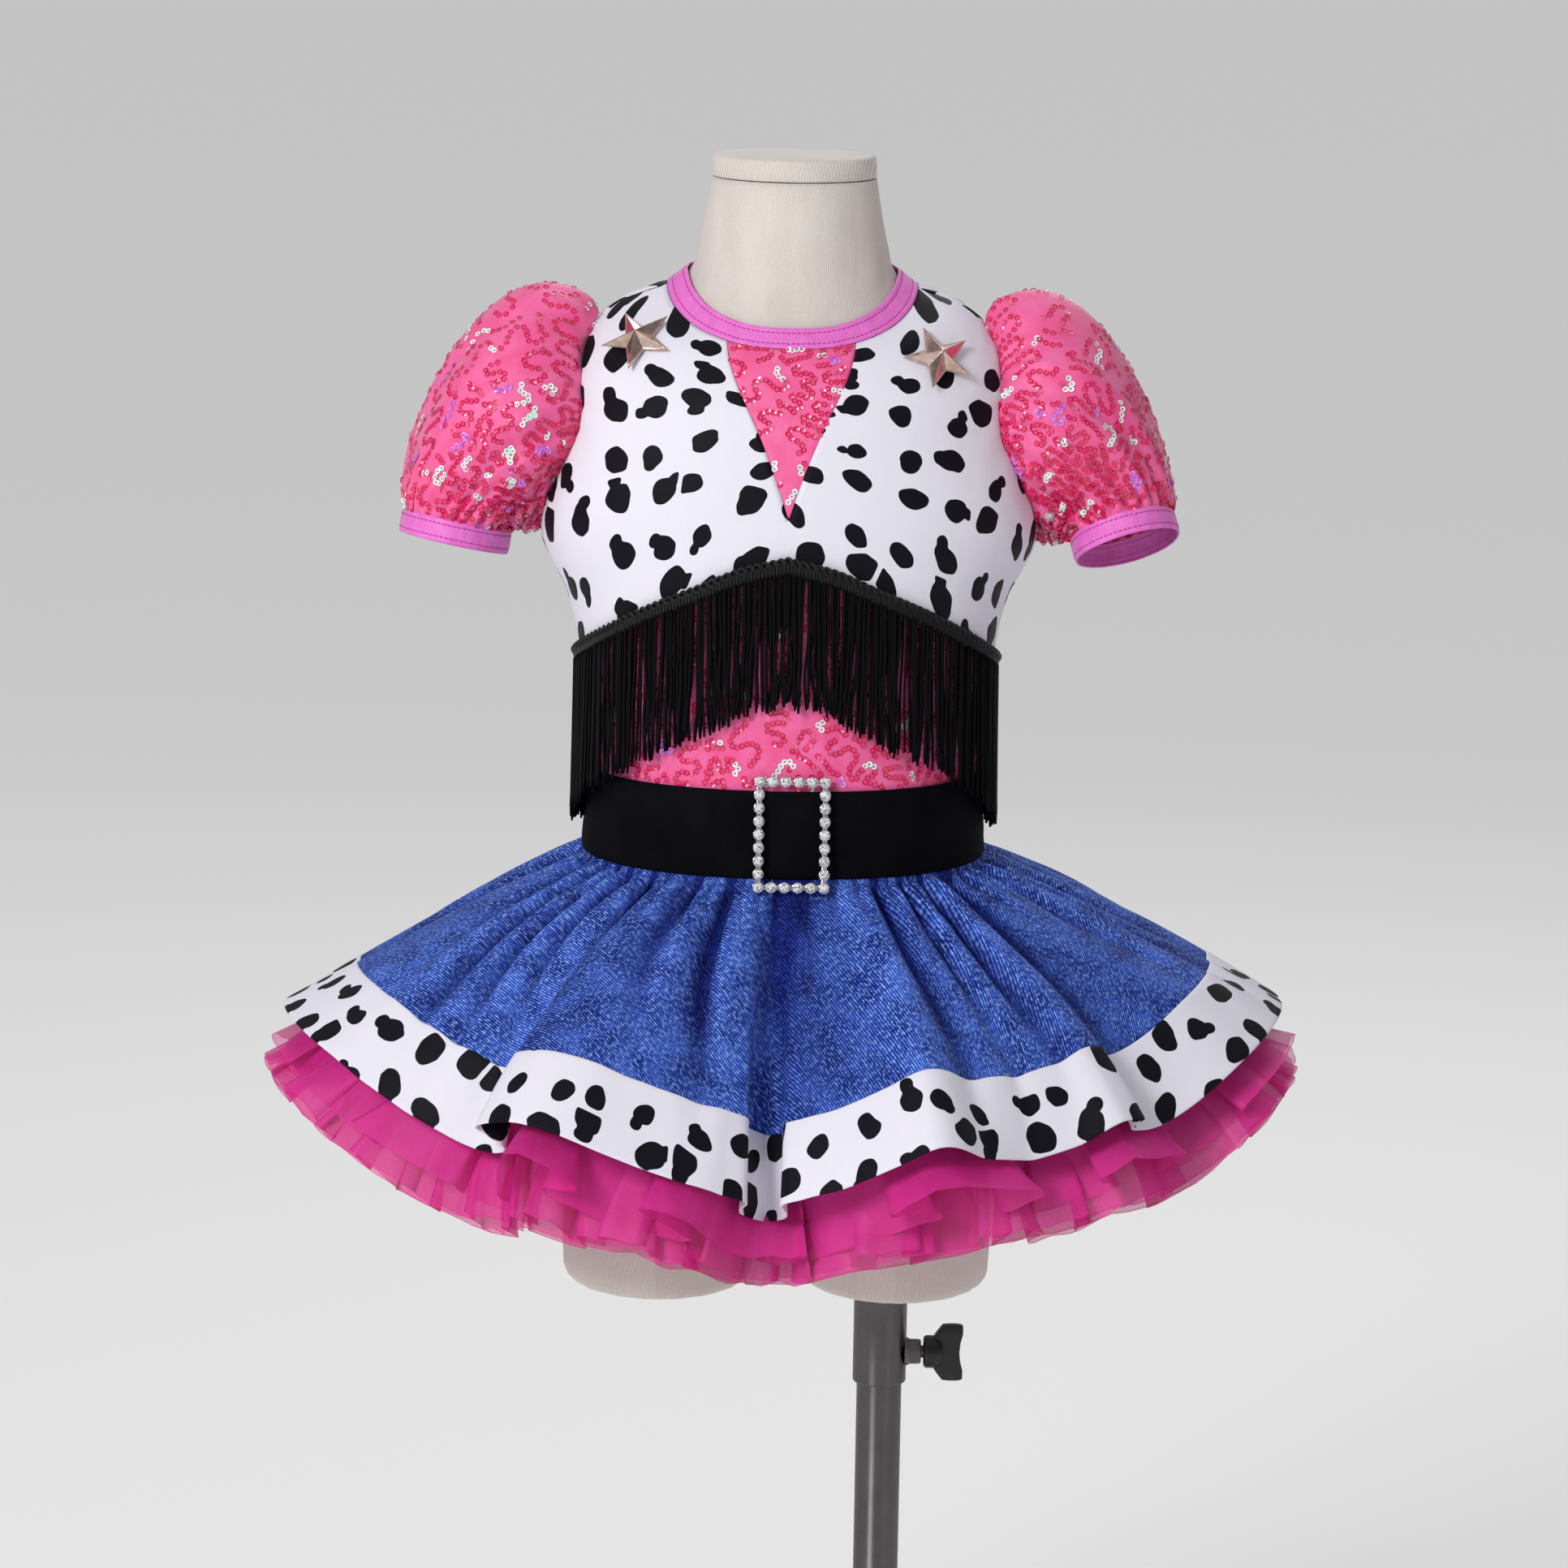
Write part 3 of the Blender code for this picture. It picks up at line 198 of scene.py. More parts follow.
def station_at(turns, heights):
    """The station where each column of the skin reaches a height below the shoulders."""
    turns, heights = np.broadcast_arrays(np.asarray(turns, float), np.asarray(heights, float))
    t, z = turns.ravel(), heights.ravel()
    low, high = np.zeros(len(t)), np.full(len(t), STATION["shoulder_tip"])
    for _ in range(26):
        middle = (low + high) / 2
        short = bare_skin(t, middle)[:, 2] < z
        low, high = np.where(short, middle, low), np.where(short, high, middle)
    return ((low + high) / 2).reshape(turns.shape)


def add_piece(name, mesh, nodes=(), body="figure"):
    """A finished mesh as a piece that rides on a body and stands for its CAD nodes."""
    mesh.polygons.foreach_set("use_smooth", [True] * len(mesh.polygons))
    piece = place_object(name, mesh)
    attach(piece, body)
    if nodes:
        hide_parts(*nodes)
    return piece


def new_net(name, points, faces, *finishes):
    mesh = bpy.data.meshes.new(name)
    mesh.from_pydata(points.reshape(-1, 3).tolist(), [], faces)
    for finish in finishes:
        mesh.materials.append(finish)
    return mesh


def lay_cloth(name, points, across, up, finish, slot, nodes=(), closed=False, wall=0.0, crease=None):
    """A cloth through rows of points that run upwards, with its place on the flat cut as its UVs."""
    rows, count = points.shape[:2]
    across, up = np.broadcast_arrays(across, up)
    i, j = np.meshgrid(np.arange(rows - 1), np.arange(count if closed else count - 1), indexing="ij")
    corners = ((i, j), (i, j + 1), (i + 1, j + 1), (i + 1, j))
    faces = np.stack([a * count + b % count for a, b in corners], axis=-1).reshape(-1, 4)
    mesh = new_net(name, points, faces.tolist(), finish)
    flat = np.stack([np.stack([across[a, b], up[a, b]], axis=-1) for a, b in corners], axis=2)
    mesh.uv_layers.new(name="cut").data.foreach_set("uv", flat.reshape(-1))
    # Crease depths, where given, are kept on the points for the painted shade in the cloth's folds.
    if crease is not None:
        mesh.attributes.new("crease", "FLOAT", "POINT").data.foreach_set("value", crease.reshape(-1))
    piece = add_piece(name, mesh, nodes)
    if wall:
        shell = piece.modifiers.new("Cloth wall", "SOLIDIFY")
        shell.thickness, shell.offset, shell.use_even_offset = wall, 1.0, False
    return piece


def hump(away, width):
    """A soft rise from 0 to 1 and back, with its top where the distance is nothing."""
    return np.exp(-((away / width) ** 2))


def ring_of(count, start=0.0):
    """Even turns right round, without the last one, which is the first again."""
    return np.linspace(start, start + 2 * math.pi, count + 1)[:-1]


def run_along(points, closed=False):
    """How far along its row each point lies."""
    if closed:
        points = np.concatenate([points, points[:, :1]], axis=1)
    steps = np.linalg.norm(np.diff(points, axis=1), axis=2)
    return np.concatenate([np.zeros((len(points), 1)), np.cumsum(steps, axis=1)], axis=1)


def work(finish, kind, settings=(), **sockets):
    """One node of a finish. A socket takes a plain value or another node's output."""
    node = finish.node_tree.nodes.new(kind)
    for key, value in dict(settings).items():
        setattr(node, key, value)
    for key, value in sockets.items():
        socket = node.inputs[int(key[2:]) if key.startswith("at") else key.replace("_", " ")]
        if isinstance(value, bpy.types.NodeSocket):
            finish.node_tree.links.new(value, socket)
        else:
            socket.default_value = value
    return node.outputs


def reckon(finish, operation, *values):
    sockets = {f"at{k}": value for k, value in enumerate(values)}
    return work(finish, "ShaderNodeMath", {"operation": operation}, **sockets)[0]


def weigh(finish, first, first_share, second, second_share):
    return reckon(finish, "MULTIPLY_ADD", first, first_share, reckon(finish, "MULTIPLY", second, second_share))


def shade_between(finish, share, low, high, low_at=0.0, high_at=1.0):
    """A colour between two colours, by where a number lies between two others."""
    part = work(finish, "ShaderNodeMapRange", Value=share, From_Min=low_at, From_Max=high_at)[0]
    low, high = ((*colour, 1) if isinstance(colour, tuple) else colour for colour in (low, high))
    return work(finish, "ShaderNodeMix", {"data_type": "RGBA"}, Factor=part, at6=low, at7=high)[2]


def paint(finish, colour, **sockets):
    """Joins a colour, and other looks that vary, to the finish's shader."""
    for key, value in {"Base Color": colour, **sockets}.items():
        finish.node_tree.links.new(value, shader_of(finish).inputs[key])


def raise_relief(finish, height, depth):
    """Joins a height to the shader as relief of this depth in metres."""
    bump = work(finish, "ShaderNodeBump", Height=height, Strength=1.0, Distance=depth)[0]
    finish.node_tree.links.new(bump, shader_of(finish).inputs["Normal"])


def cut_of(finish):
    """Where on the flat cut a place of the cloth lies, in metres."""
    return work(finish, "ShaderNodeUVMap", {"uv_map": "cut"})[0]


def place_in(finish):
    return work(finish, "ShaderNodeTexCoord")["Object"]


def cloud_of(finish, place, scale, detail, settings=(), **sockets):
    """Soft unevenness, from 0 to 1."""
    return work(finish, "ShaderNodeTexNoise", settings, Vector=place, Scale=scale, Detail=detail, **sockets)[0]


def ribs_of(finish, place, pitch, direction="X", bend=0.0, bend_scale=20.0):
    """Fine even ribs of this pitch, from 0 to 1."""
    looks = {"Scale": math.pi / 10 / pitch, "Distortion": bend, "Detail_Scale": bend_scale}
    return work(finish, "ShaderNodeTexWave", {"bands_direction": direction}, Vector=place, **looks)["Fac"]


def turned_place(finish, place, angle):
    turn = {"Vector": place, "Angle": math.radians(angle)}
    return work(finish, "ShaderNodeVectorRotate", {"rotation_type": "Z_AXIS"}, **turn)[0]


LINEN = start_finish("linen_twill", 0.82, Sheen_Weight=0.25, Sheen_Roughness=0.6)
linen_place = cut_of(LINEN)
linen_twill = ribs_of(LINEN, turned_place(LINEN, linen_place, 7), 0.00135, "X", 0.5, 300.0)
linen_cloud = cloud_of(LINEN, linen_place, 26.0, 5.0)
linen_tint = shade_between(LINEN, linen_cloud, (0.66, 0.60, 0.55), (0.80, 0.74, 0.69), 0.25, 0.75)
linen_lines = weigh(LINEN, linen_twill, 0.5, cloud_of(LINEN, linen_place, 900.0, 2.0), 0.5)
paint(LINEN, shade_between(LINEN, linen_lines, (0.50, 0.435, 0.40), linen_tint, 0.05, 0.60))
raise_relief(LINEN, reckon(LINEN, "MULTIPLY_ADD", linen_cloud, 3.0, linen_lines), 0.00012)

CHEST, NECK_BASE = STATION["chest"], STATION["neck_base"]
form_turns = ring_of(180, -math.pi)
form_stations = np.concatenate(
    [[0, 0.0006, 0.0022, 0.0048], np.linspace(0.008, CHEST, 34), np.linspace(CHEST, STATIONS[-1], 62)[1:]]
)
form_inset = FORM_INSET * np.clip((NECK_BASE - form_stations) / (NECK_BASE - STATION["shoulder_top"]), 0, 1)
form_inset[:4] += (0.0060, 0.0034, 0.0014, 0.0004)
seam_valley = 0.0005 * hump(abs(form_turns) - math.pi / 2, 0.012)
form_points, _ = skin(form_turns, form_stations[:, None], -form_inset[:, None] - seam_valley)
form_around = run_along(form_points, closed=True)[40]
torso = lay_cloth(
    "form_torso", form_points, form_around, form_stations[:, None], LINEN, "linen", ("dress_form",), closed=True
)


def close_ends(piece, points):
    """Closes a lofted piece at its foot and its top."""
    rows, columns = points.shape[:2]
    shape = bmesh.new()
    shape.from_mesh(piece.data)
    shape.verts.ensure_lookup_table()
    cut = shape.loops.layers.uv.verify()
    for end in (range(columns)[::-1], range((rows - 1) * columns, rows * columns)):
        face = shape.faces.new([shape.verts[k] for k in end])
        face.smooth = False
        for loop in face.loops:
            loop[cut].uv = (loop.vert.co.x, loop.vert.co.y)
    shape.to_mesh(piece.data)
    shape.free()


def oval_rings(turns, half_width, half_depth, height):
    """Level rings of these sizes, each beginning at the front."""
    sides = half_width * np.sin(turns), -half_depth * np.cos(turns), height
    return np.stack(np.broadcast_arrays(*sides), axis=-1)


close_ends(torso, form_points)

THIGH_ROWS = (
    # height above the cut, half width, half depth
    (0.0000, 0.0405, 0.0525), (0.0006, 0.0425, 0.0545), (0.0022, 0.0442, 0.0562), (0.0050, 0.0452, 0.0573),
    (0.0150, 0.0458, 0.0590), (0.0300, 0.0460, 0.0610), (0.0500, 0.0458, 0.0635), (0.0750, 0.0455, 0.0660),
)
thigh_rise, thigh_width, thigh_depth = np.array(THIGH_ROWS).T[..., None]
thigh_turns = ring_of(96)
pucker = 1 + 0.006 * np.sin(thigh_turns * 23 + 2 * np.sin(thigh_turns * 5)) * np.exp(-thigh_rise / 0.006)
thigh_rings = oval_rings(thigh_turns, thigh_width * pucker, thigh_depth * pucker, 0.400 + thigh_rise)
for thigh_name, thigh_x in (("thigh_left", -0.0565), ("thigh_right", 0.0565)):
    thigh_points = thigh_rings + (thigh_x, 0, 0)
    thigh_around = run_along(thigh_points, closed=True)[3]
    thigh = lay_cloth(thigh_name, thigh_points, thigh_around, thigh_rise, LINEN, "linen", closed=True)
    close_ends(thigh, thigh_points)

LID_ROWS = (
    # height above the neck's cut, size
    (0.0003, 0.930), (0.0005, 0.985), (0.0012, 1.000), (0.0060, 0.996), (0.0090, 0.992), (0.0100, 0.984),
    (0.01065, 0.962), (0.0108, 0.930), (0.0108, 0.500), (0.0108, 0.030),
)
lid_rise, lid_size = np.array(LID_ROWS).T[..., None]
lid_points = oval_rings(ring_of(128), 0.0384 * lid_size, 0.0372 * lid_size, 0.9265 + lid_rise)
lid_across, lid_along, lid_up = np.concatenate([lid_points, lid_points[:, :1]], axis=1).transpose(2, 0, 1)
lid = lay_cloth("form_lid", lid_points, lid_across, lid_along + lid_up, LINEN, "linen", ("neck_cap",), closed=True)
close_ends(lid, lid_points)

# The stand: a turned steel foot with a socket, a polished inner pole, and a sliding outer tube whose
# welded boss takes the clamp screw. All of it is bright chrome plate, finely brushed round.
POLE_X = 0.0508
CLAMP_HEIGHT = 0.3625


def clouded_finish(name, roughness, clouds, low, high, low_at, high_at, gloss=None, depth=None, **sockets):
    """A hard finish whose colour, and gloss and relief where asked, change from place to place."""
    finish = start_finish(name, roughness, **sockets)
    cloud = cloud_of(finish, place_in(finish), *clouds)
    varied = {"Roughness": work(finish, "ShaderNodeMapRange", Value=cloud, **gloss)[0]} if gloss else {}
    paint(finish, shade_between(finish, cloud, low, high, low_at, high_at), **varied)
    if depth:
        raise_relief(finish, cloud, depth)
    return finish


CHROME = clouded_finish(
    "chrome_plate", 0.42, (60.0, 6.0), (0.16, 0.148, 0.150), (0.22, 0.208, 0.210), 0.3, 0.7,
    {"From_Min": 0.3, "From_Max": 0.75, "To_Min": 0.40, "To_Max": 0.46},
    Metallic=1.0, Anisotropic=1.0, Anisotropic_Rotation=0.25,
)
raise_relief(CHROME, ribs_of(CHROME, place_in(CHROME), 0.0006, "Z", 2.0, 400.0), 0.000004)


def join_rings(shape, rings):
    """Faces from each closed ring of corners to the next. A ring may be one corner, named many times."""
    for low, high in zip(rings, rings[1:]):
        for k in range(len(low)):
            n = (k + 1) % len(low)
            corners = list(dict.fromkeys((low[k], low[n], high[n], high[k])))
            if len(corners) > 2:
                shape.faces.new(corners)


def add_solid(name, shape, finish, slot, nodes=(), body="figure", sharp=None, place=None):
    """A shape as a piece, moved to its place, with a hard edge where it bends by more than this angle."""
    mesh = bpy.data.meshes.new(name)
    shape.to_mesh(mesh)
    shape.free()
    if place:
        mesh.transform(place)
    mesh.materials.append(finish)
    piece = add_piece(name, mesh, nodes, body)
    if sharp:
        mesh.set_sharp_from_angle(angle=math.radians(sharp))
    return piece


def turn_on_lathe(name, profile, segments, body, slot, finish, nodes, level_from=None):
    """A turned piece from a profile of radius and height, on the pole or on the clamp screw's level axis."""
    turns = ring_of(segments)
    radius, height = np.array(profile, float).T[..., None]
    points = np.stack(np.broadcast_arrays(radius * np.cos(turns), radius * np.sin(turns), height), axis=-1)
    if level_from is None:
        points = points + (POLE_X, 0, 0)
    else:
        points = points[..., (2, 0, 1)] + (level_from, 0, CLAMP_HEIGHT)
    shape = bmesh.new()
    rows = []
    for ring, (r,) in zip(points, radius):
        rows.append([shape.verts.new(place) for place in ring] if r > 1e-7 else [shape.verts.new(ring[0])] * segments)
    join_rings(shape, rows)
    bmesh.ops.recalc_face_normals(shape, faces=shape.faces)
    return add_solid(name, shape, finish, slot, nodes, body, sharp=32)


turn_on_lathe(
    "foot_plate",
    (
        (0, 0.0043), (0.0111, 0.0043), (0.0111, 0.0390), (0.0118, 0.0400), (0.0172, 0.0400), (0.0179, 0.0393),
        (0.0180, 0.0120), (0.0190, 0.0097), (0.0215, 0.0085), (0.0260, 0.0080), (0.0900, 0.0078), (0.1340, 0.0072),
        (0.1372, 0.0066), (0.1392, 0.0052), (0.1400, 0.0038), (0.1400, 0.0008), (0.1394, 0.0), (0, 0),
    ),
    160, "stand", "chrome", CHROME, ("stand_base",),
)
turn_on_lathe(
    "inner_pole",
    ((0, 0.0043), (0.0100, 0.0043), (0.0108, 0.0051), (0.0108, 0.4990), (0.0100, 0.5000), (0, 0.5000)),
    64, "stand", "chrome", CHROME, ("stand_pole",),
)
turn_on_lathe(
    "slide_tube",
    (
        (0.0112, 0.3486), (0.0118, 0.3480), (0.0124, 0.3480), (0.0128, 0.3486), (0.0128, 0.5990), (0.0122, 0.6000),
        (0.0116, 0.6000), (0.0112, 0.5990), (0.0112, 0.3486),
    ),
    64, "figure", "chrome", CHROME, ("pole_sleeve",),
)
turn_on_lathe(
    "clamp_boss",
    (
        (0.0033, 0.0118), (0.0070, 0.0120), (0.0066, 0.0136), (0.0060, 0.0144), (0.0060, 0.0188), (0.0055, 0.0198),
        (0.0040, 0.0198), (0.0033, 0.0192), (0.0033, 0.0118),
    ),
    48, "figure", "chrome", CHROME, (), POLE_X,
)

# The clamp knob: a moulded black plastic hub with two flat wings on a steel screw. It is pressed on the
# screw and turns with it.
BLACK_PLASTIC = clouded_finish(
    "moulded_plastic", 0.42, (120.0, 4.0), (0.004, 0.004, 0.005), (0.012, 0.012, 0.014), 0.35, 0.8,
    {"To_Min": 0.32, "To_Max": 0.52},
)
raise_relief(BLACK_PLASTIC, cloud_of(BLACK_PLASTIC, place_in(BLACK_PLASTIC), 1800.0, 3.0), 0.00002)

knob_face = POLE_X + 0.0128 + 0.0070 + 0.0012
turn_on_lathe(
    "knob_hub",
    (
        (0, 0.0), (0.0068, 0.0), (0.0077, 0.0008), (0.0079, 0.0016), (0.0079, 0.0052), (0.0074, 0.0072),
        (0.0060, 0.0088), (0, 0.0094),
    ),
    56, "knob", "black_plastic", BLACK_PLASTIC, ("clamp_knob",), knob_face,
)
turn_on_lathe(
    "knob_screw",
    ((0, 0.0623), (0.0022, 0.0623), (0.0030, 0.0630), (0.0030, 0.0722), (0, 0.0722)),
    32, "knob", "chrome", CHROME, (), 0,
)
KNOB_WING = (
    # distance from the knob's face, half height, half thickness
    (0.0046, 0.0072, 0.0034), (0.0068, 0.0104, 0.0034), (0.0092, 0.0134, 0.0032), (0.0120, 0.0137, 0.0031),
    (0.0160, 0.0137, 0.0030), (0.0184, 0.0134, 0.0028), (0.0190, 0.0126, 0.0025),
)


def round_edges(piece, name, width, segments=2, angle=None):
    edges = piece.modifiers.new(name, "BEVEL")
    edges.width, edges.segments = width, segments
    if angle:
        edges.angle_limit = math.radians(angle)


wing_shape = bmesh.new()
wing_rows = []
for wing_reach, wing_height, wing_thick in KNOB_WING:
    row = []
    for k in (-1, -0.72, -0.4, 0, 0.4, 0.72, 1):
        waist = 0.0016 * max(0.0, 1 - (k / 0.72) ** 2) * (wing_reach / 0.019) ** 4
        row.append((knob_face + wing_reach - waist, wing_thick * (1 - 0.15 * k * k), CLAMP_HEIGHT + wing_height * k))
    row += [(x, -y, z) for x, y, z in row[::-1]]
    wing_rows.append([wing_shape.verts.new(place) for place in row])
join_rings(wing_shape, wing_rows)
for row in (wing_rows[0], wing_rows[-1]):
    for k in range(6):
        wing_shape.faces.new((row[k], row[k + 1], row[12 - k], row[13 - k]))
bmesh.ops.recalc_face_normals(wing_shape, faces=wing_shape.faces)
knob_wings = add_solid("knob_wings", wing_shape, BLACK_PLASTIC, "black_plastic", ("clamp_knob",), "knob")
round_edges(knob_wings, "Moulded edges", 0.0008, 3, 40)

# The bodice: white stretch knit printed with black spots, cut as a front with a V out of it and a plain
# back, and sewn with narrow seams at the sides. It is pulled smooth over the form.
SIDE = math.pi / 2
SEAM_GAP = 0.0003
CLOTH_LIFT = 0.0010
OVER_LIFT = 0.0027
ARMHOLE_FRONT_CUT = math.radians(18)
ARMHOLE_BACK_CUT = math.radians(21)
SEAM_LINE = (
    # azimuth, height
    (0, 0.7535), (16, 0.7480), (28, 0.7405), (44, 0.7296), (60, 0.7170),
    (75, 0.7065), (90, 0.6990), (110, 0.6930), (135, 0.6900), (180, 0.6885),
)
seam_turns = np.radians(np.arange(0, 181))
seam_heights = smooth_table(np.arange(0, 181), SEAM_LINE)
seam_stations = station_at(seam_turns, seam_heights)


def seam_station(turns):
    wrapped = abs((np.asarray(turns) + math.pi) % (2 * math.pi) - math.pi)
    return np.interp(wrapped, seam_turns, seam_stations)


def bodice_station(turns, shares):
    seam = seam_station(turns)
    return seam + (STATION["neckline"] - seam) * shares


def share_of(turn, station):
    return float((station - seam_station(turn)) / (STATION["neckline"] - seam_station(turn)))


UNDERARM_SHARE = share_of(SIDE, station_at(SIDE, 0.7600))
SHOULDER_SHARE = share_of(SIDE, STATION["shoulder_tip"] + 0.006)
V_TIP_SHARE = share_of(0.0, station_at(0.0, 0.7750))


def armhole_turn(shares, cut):
    along = (shares - UNDERARM_SHARE) / (SHOULDER_SHARE - UNDERARM_SHARE)
    hollow = np.sin(math.pi * np.clip(along, 0, 1)) ** 0.7
    return SIDE - SEAM_GAP / 2 / 0.08 - cut * np.nan_to_num(hollow)


def v_turn(shares):
    half_width = 0.0335 * np.clip((shares - V_TIP_SHARE) / (1 - V_TIP_SHARE), 0, None)
    middle, _ = skin(0.0, bodice_station(0.0, shares))
    return np.arctan2(half_width, -middle[:, 1])


def soft_creases(across, up, seed, size, count=7):
    """Soft unevenness of a cloth, from -1 to 1, with no direction of its own."""
    chance = np.random.default_rng(seed)
    height = 0
    for _ in range(count):
        heading, phase = chance.uniform(0, 2 * math.pi, 2)
        reach = size * chance.uniform(0.6, 1.6)
        way = across * math.cos(heading) + up * math.sin(heading)
        height = height + np.sin(2 * math.pi * way / reach + phase)
    return height / count


SPOTTED_PRINT = start_finish("spotted_knit", 0.52, Sheen_Weight=0.03, Sheen_Roughness=0.4, Specular_IOR_Level=0.10)
SPOTS_A_METRE = 43.5
spots = partial(reckon, SPOTTED_PRINT)
spot_place = cut_of(SPOTTED_PRINT)
spot_net = {"Vector": spot_place, "Scale": SPOTS_A_METRE, "Randomness": 0.62}
spot_cells = work(SPOTTED_PRINT, "ShaderNodeTexVoronoi", {"voronoi_dimensions": "2D"}, **spot_net)
spot_chance = work(SPOTTED_PRINT, "ShaderNodeSeparateColor", Color=spot_cells["Color"])
spot_away = {"at0": spot_place, "at1": spot_cells["Position"]}
spot_away = work(SPOTTED_PRINT, "ShaderNodeVectorMath", {"operation": "SUBTRACT"}, **spot_away)[0]
spot_turn = {"Vector": spot_away, "Angle": spots("MULTIPLY", spot_chance[0], 6.283)}
spot_turned = work(SPOTTED_PRINT, "ShaderNodeVectorRotate", {"rotation_type": "Z_AXIS"}, **spot_turn)[0]
spot_axes = work(SPOTTED_PRINT, "ShaderNodeSeparateXYZ", Vector=spot_turned)
spot_size = spots("MULTIPLY_ADD", spot_chance[1], 0.0026, 0.0048)
spot_stretch = spots("MULTIPLY_ADD", spot_chance[2], 0.35, 1.08)


def spot_lobe(offset, share, stretch):
    """How far a place lies outside one rounded lobe of a spot."""
    along = spots("DIVIDE", spots("SUBTRACT", spot_axes[0], spots("MULTIPLY", spot_size, offset)), stretch)
    across = spots("MULTIPLY_ADD", spot_size, offset * 0.45, spot_axes[1])
    reach = spots("SQRT", spots("ADD", spots("POWER", along, 2.0), spots("POWER", across, 2.0)))
    return spots("SUBTRACT", reach, spots("MULTIPLY", spot_size, share))


# Some spots have a second lobe. A noise wobbles the outline, and the cells' borders keep spots apart.
spot_single = spots("MULTIPLY", spots("GREATER_THAN", spot_chance[2], 0.52), 0.02)
spot_second = spots("ADD", spot_lobe(0.84, 0.56, 1.0), spot_single)
spot_outline = spots("SMOOTH_MIN", spot_lobe(-0.25, 0.92, spot_stretch), spot_second, 0.0016)
spot_wobble = spots("SUBTRACT", cloud_of(SPOTTED_PRINT, spot_place, 120.0, 0.5, {"noise_dimensions": "2D"}), 0.5)
spot_edge = spots("MULTIPLY_ADD", spot_wobble, 0.0030, spot_outline)
spot_borders = {"voronoi_dimensions": "2D", "feature": "DISTANCE_TO_EDGE"}
spot_room = work(SPOTTED_PRINT, "ShaderNodeTexVoronoi", spot_borders, **spot_net)[0]
spot_room = spots("MULTIPLY_ADD", spot_room, -1 / SPOTS_A_METRE, 0.0011)
spot_edge = spots("SMOOTH_MAX", spot_edge, spot_room, 0.0022)
spot_knit = ribs_of(SPOTTED_PRINT, spot_place, 0.00062, "X", 1.0, 900.0)
spot_white = shade_between(SPOTTED_PRINT, spot_knit, (0.78, 0.76, 0.85), (0.83, 0.81, 0.89))
spot_black = shade_between(SPOTTED_PRINT, spot_knit, (0.003, 0.003, 0.006), (0.007, 0.006, 0.011))
paint(SPOTTED_PRINT, shade_between(SPOTTED_PRINT, spot_edge, spot_black, spot_white, -0.00010, 0.00014))
raise_relief(SPOTTED_PRINT, spot_knit, 0.000030)

armhole_shares = UNDERARM_SHARE + (SHOULDER_SHARE - UNDERARM_SHARE) * np.array([0.004, 0.014, 0.986, 0.996])
front_shares = [np.linspace(0, UNDERARM_SHARE, 20), np.linspace(UNDERARM_SHARE, SHOULDER_SHARE, 31), armhole_shares]
front_shares = np.unique(np.concatenate([*front_shares, np.linspace(SHOULDER_SHARE, 1, 9), [V_TIP_SHARE]]))
round_turns = np.linspace(0, math.pi, 181)
round_points, _ = skin(round_turns, bodice_station(round_turns, front_shares[:, None]))
round_run = run_along(round_points)
share_up = front_shares * float(STATION["neckline"] - seam_stations[40])


def place_on_cut(turns):
    """How far round the body from the front middle each turn lies, row by row."""
    rows = [np.interp(row, round_turns, run) for row, run in zip(abs(turns), round_run)]
    return np.sign(turns) * np.array(rows)


def bodice_half(inner, outer, columns=44):
    """One side of a bodice panel between its middle and its outer edge, with its creases and seams."""
    turns = inner[:, None] + (outer - inner)[:, None] * np.linspace(0, 1, columns)
    across = place_on_cut(turns)
    up = np.repeat(share_up[:, None], columns, axis=1)
    edge = np.minimum(abs(across - across[:, -1:]), 1.0)
    lift = CLOTH_LIFT + 0.00016 * (1 + soft_creases(across, up, 11, 0.045)) - 0.00035 * hump(edge, 0.0011)
    ray = np.clip(1 - abs(up - up.mean()) / 0.09, 0, 1) * np.exp(-edge / 0.030)
    lift = lift + 0.00030 * ray * (1 + np.sin((up * 1.25 + edge * 0.9) * 2 * math.pi / 0.017))
    points, _ = skin(turns, bodice_station(turns, front_shares[:, None]), lift)
    return points, across, up


front_outer, front_inner = armhole_turn(front_shares, ARMHOLE_FRONT_CUT), v_turn(front_shares)
right_half, left_half = bodice_half(front_inner, front_outer), bodice_half(-front_inner, -front_outer)
front_sides = [np.concatenate([left[:, ::-1], right], axis=1) for left, right in zip(left_half, right_half)]
bodice_front = lay_cloth(
    "bodice_front_cloth", *front_sides, SPOTTED_PRINT, "spotted_print", ("bodice_front",), wall=0.0006
)
front_shape = bmesh.new()
front_shape.from_mesh(bodice_front.data)
half_columns = right_half[0].shape[1]
front_shape.verts.ensure_lookup_table()
opening = []
for row in np.flatnonzero(front_shares[:-1] >= V_TIP_SHARE - 1e-9):
    pair = [front_shape.verts[(row + k) * 2 * half_columns + half_columns - 1 + n] for k in (0, 1) for n in (0, 1)]
    opening += [face for face in pair[0].link_faces if all(vertex in face.verts for vertex in pair)]
bmesh.ops.delete(front_shape, geom=opening, context="FACES_ONLY")
bmesh.ops.remove_doubles(front_shape, verts=front_shape.verts, dist=1e-6)
front_shape.to_mesh(bodice_front.data)
front_shape.free()

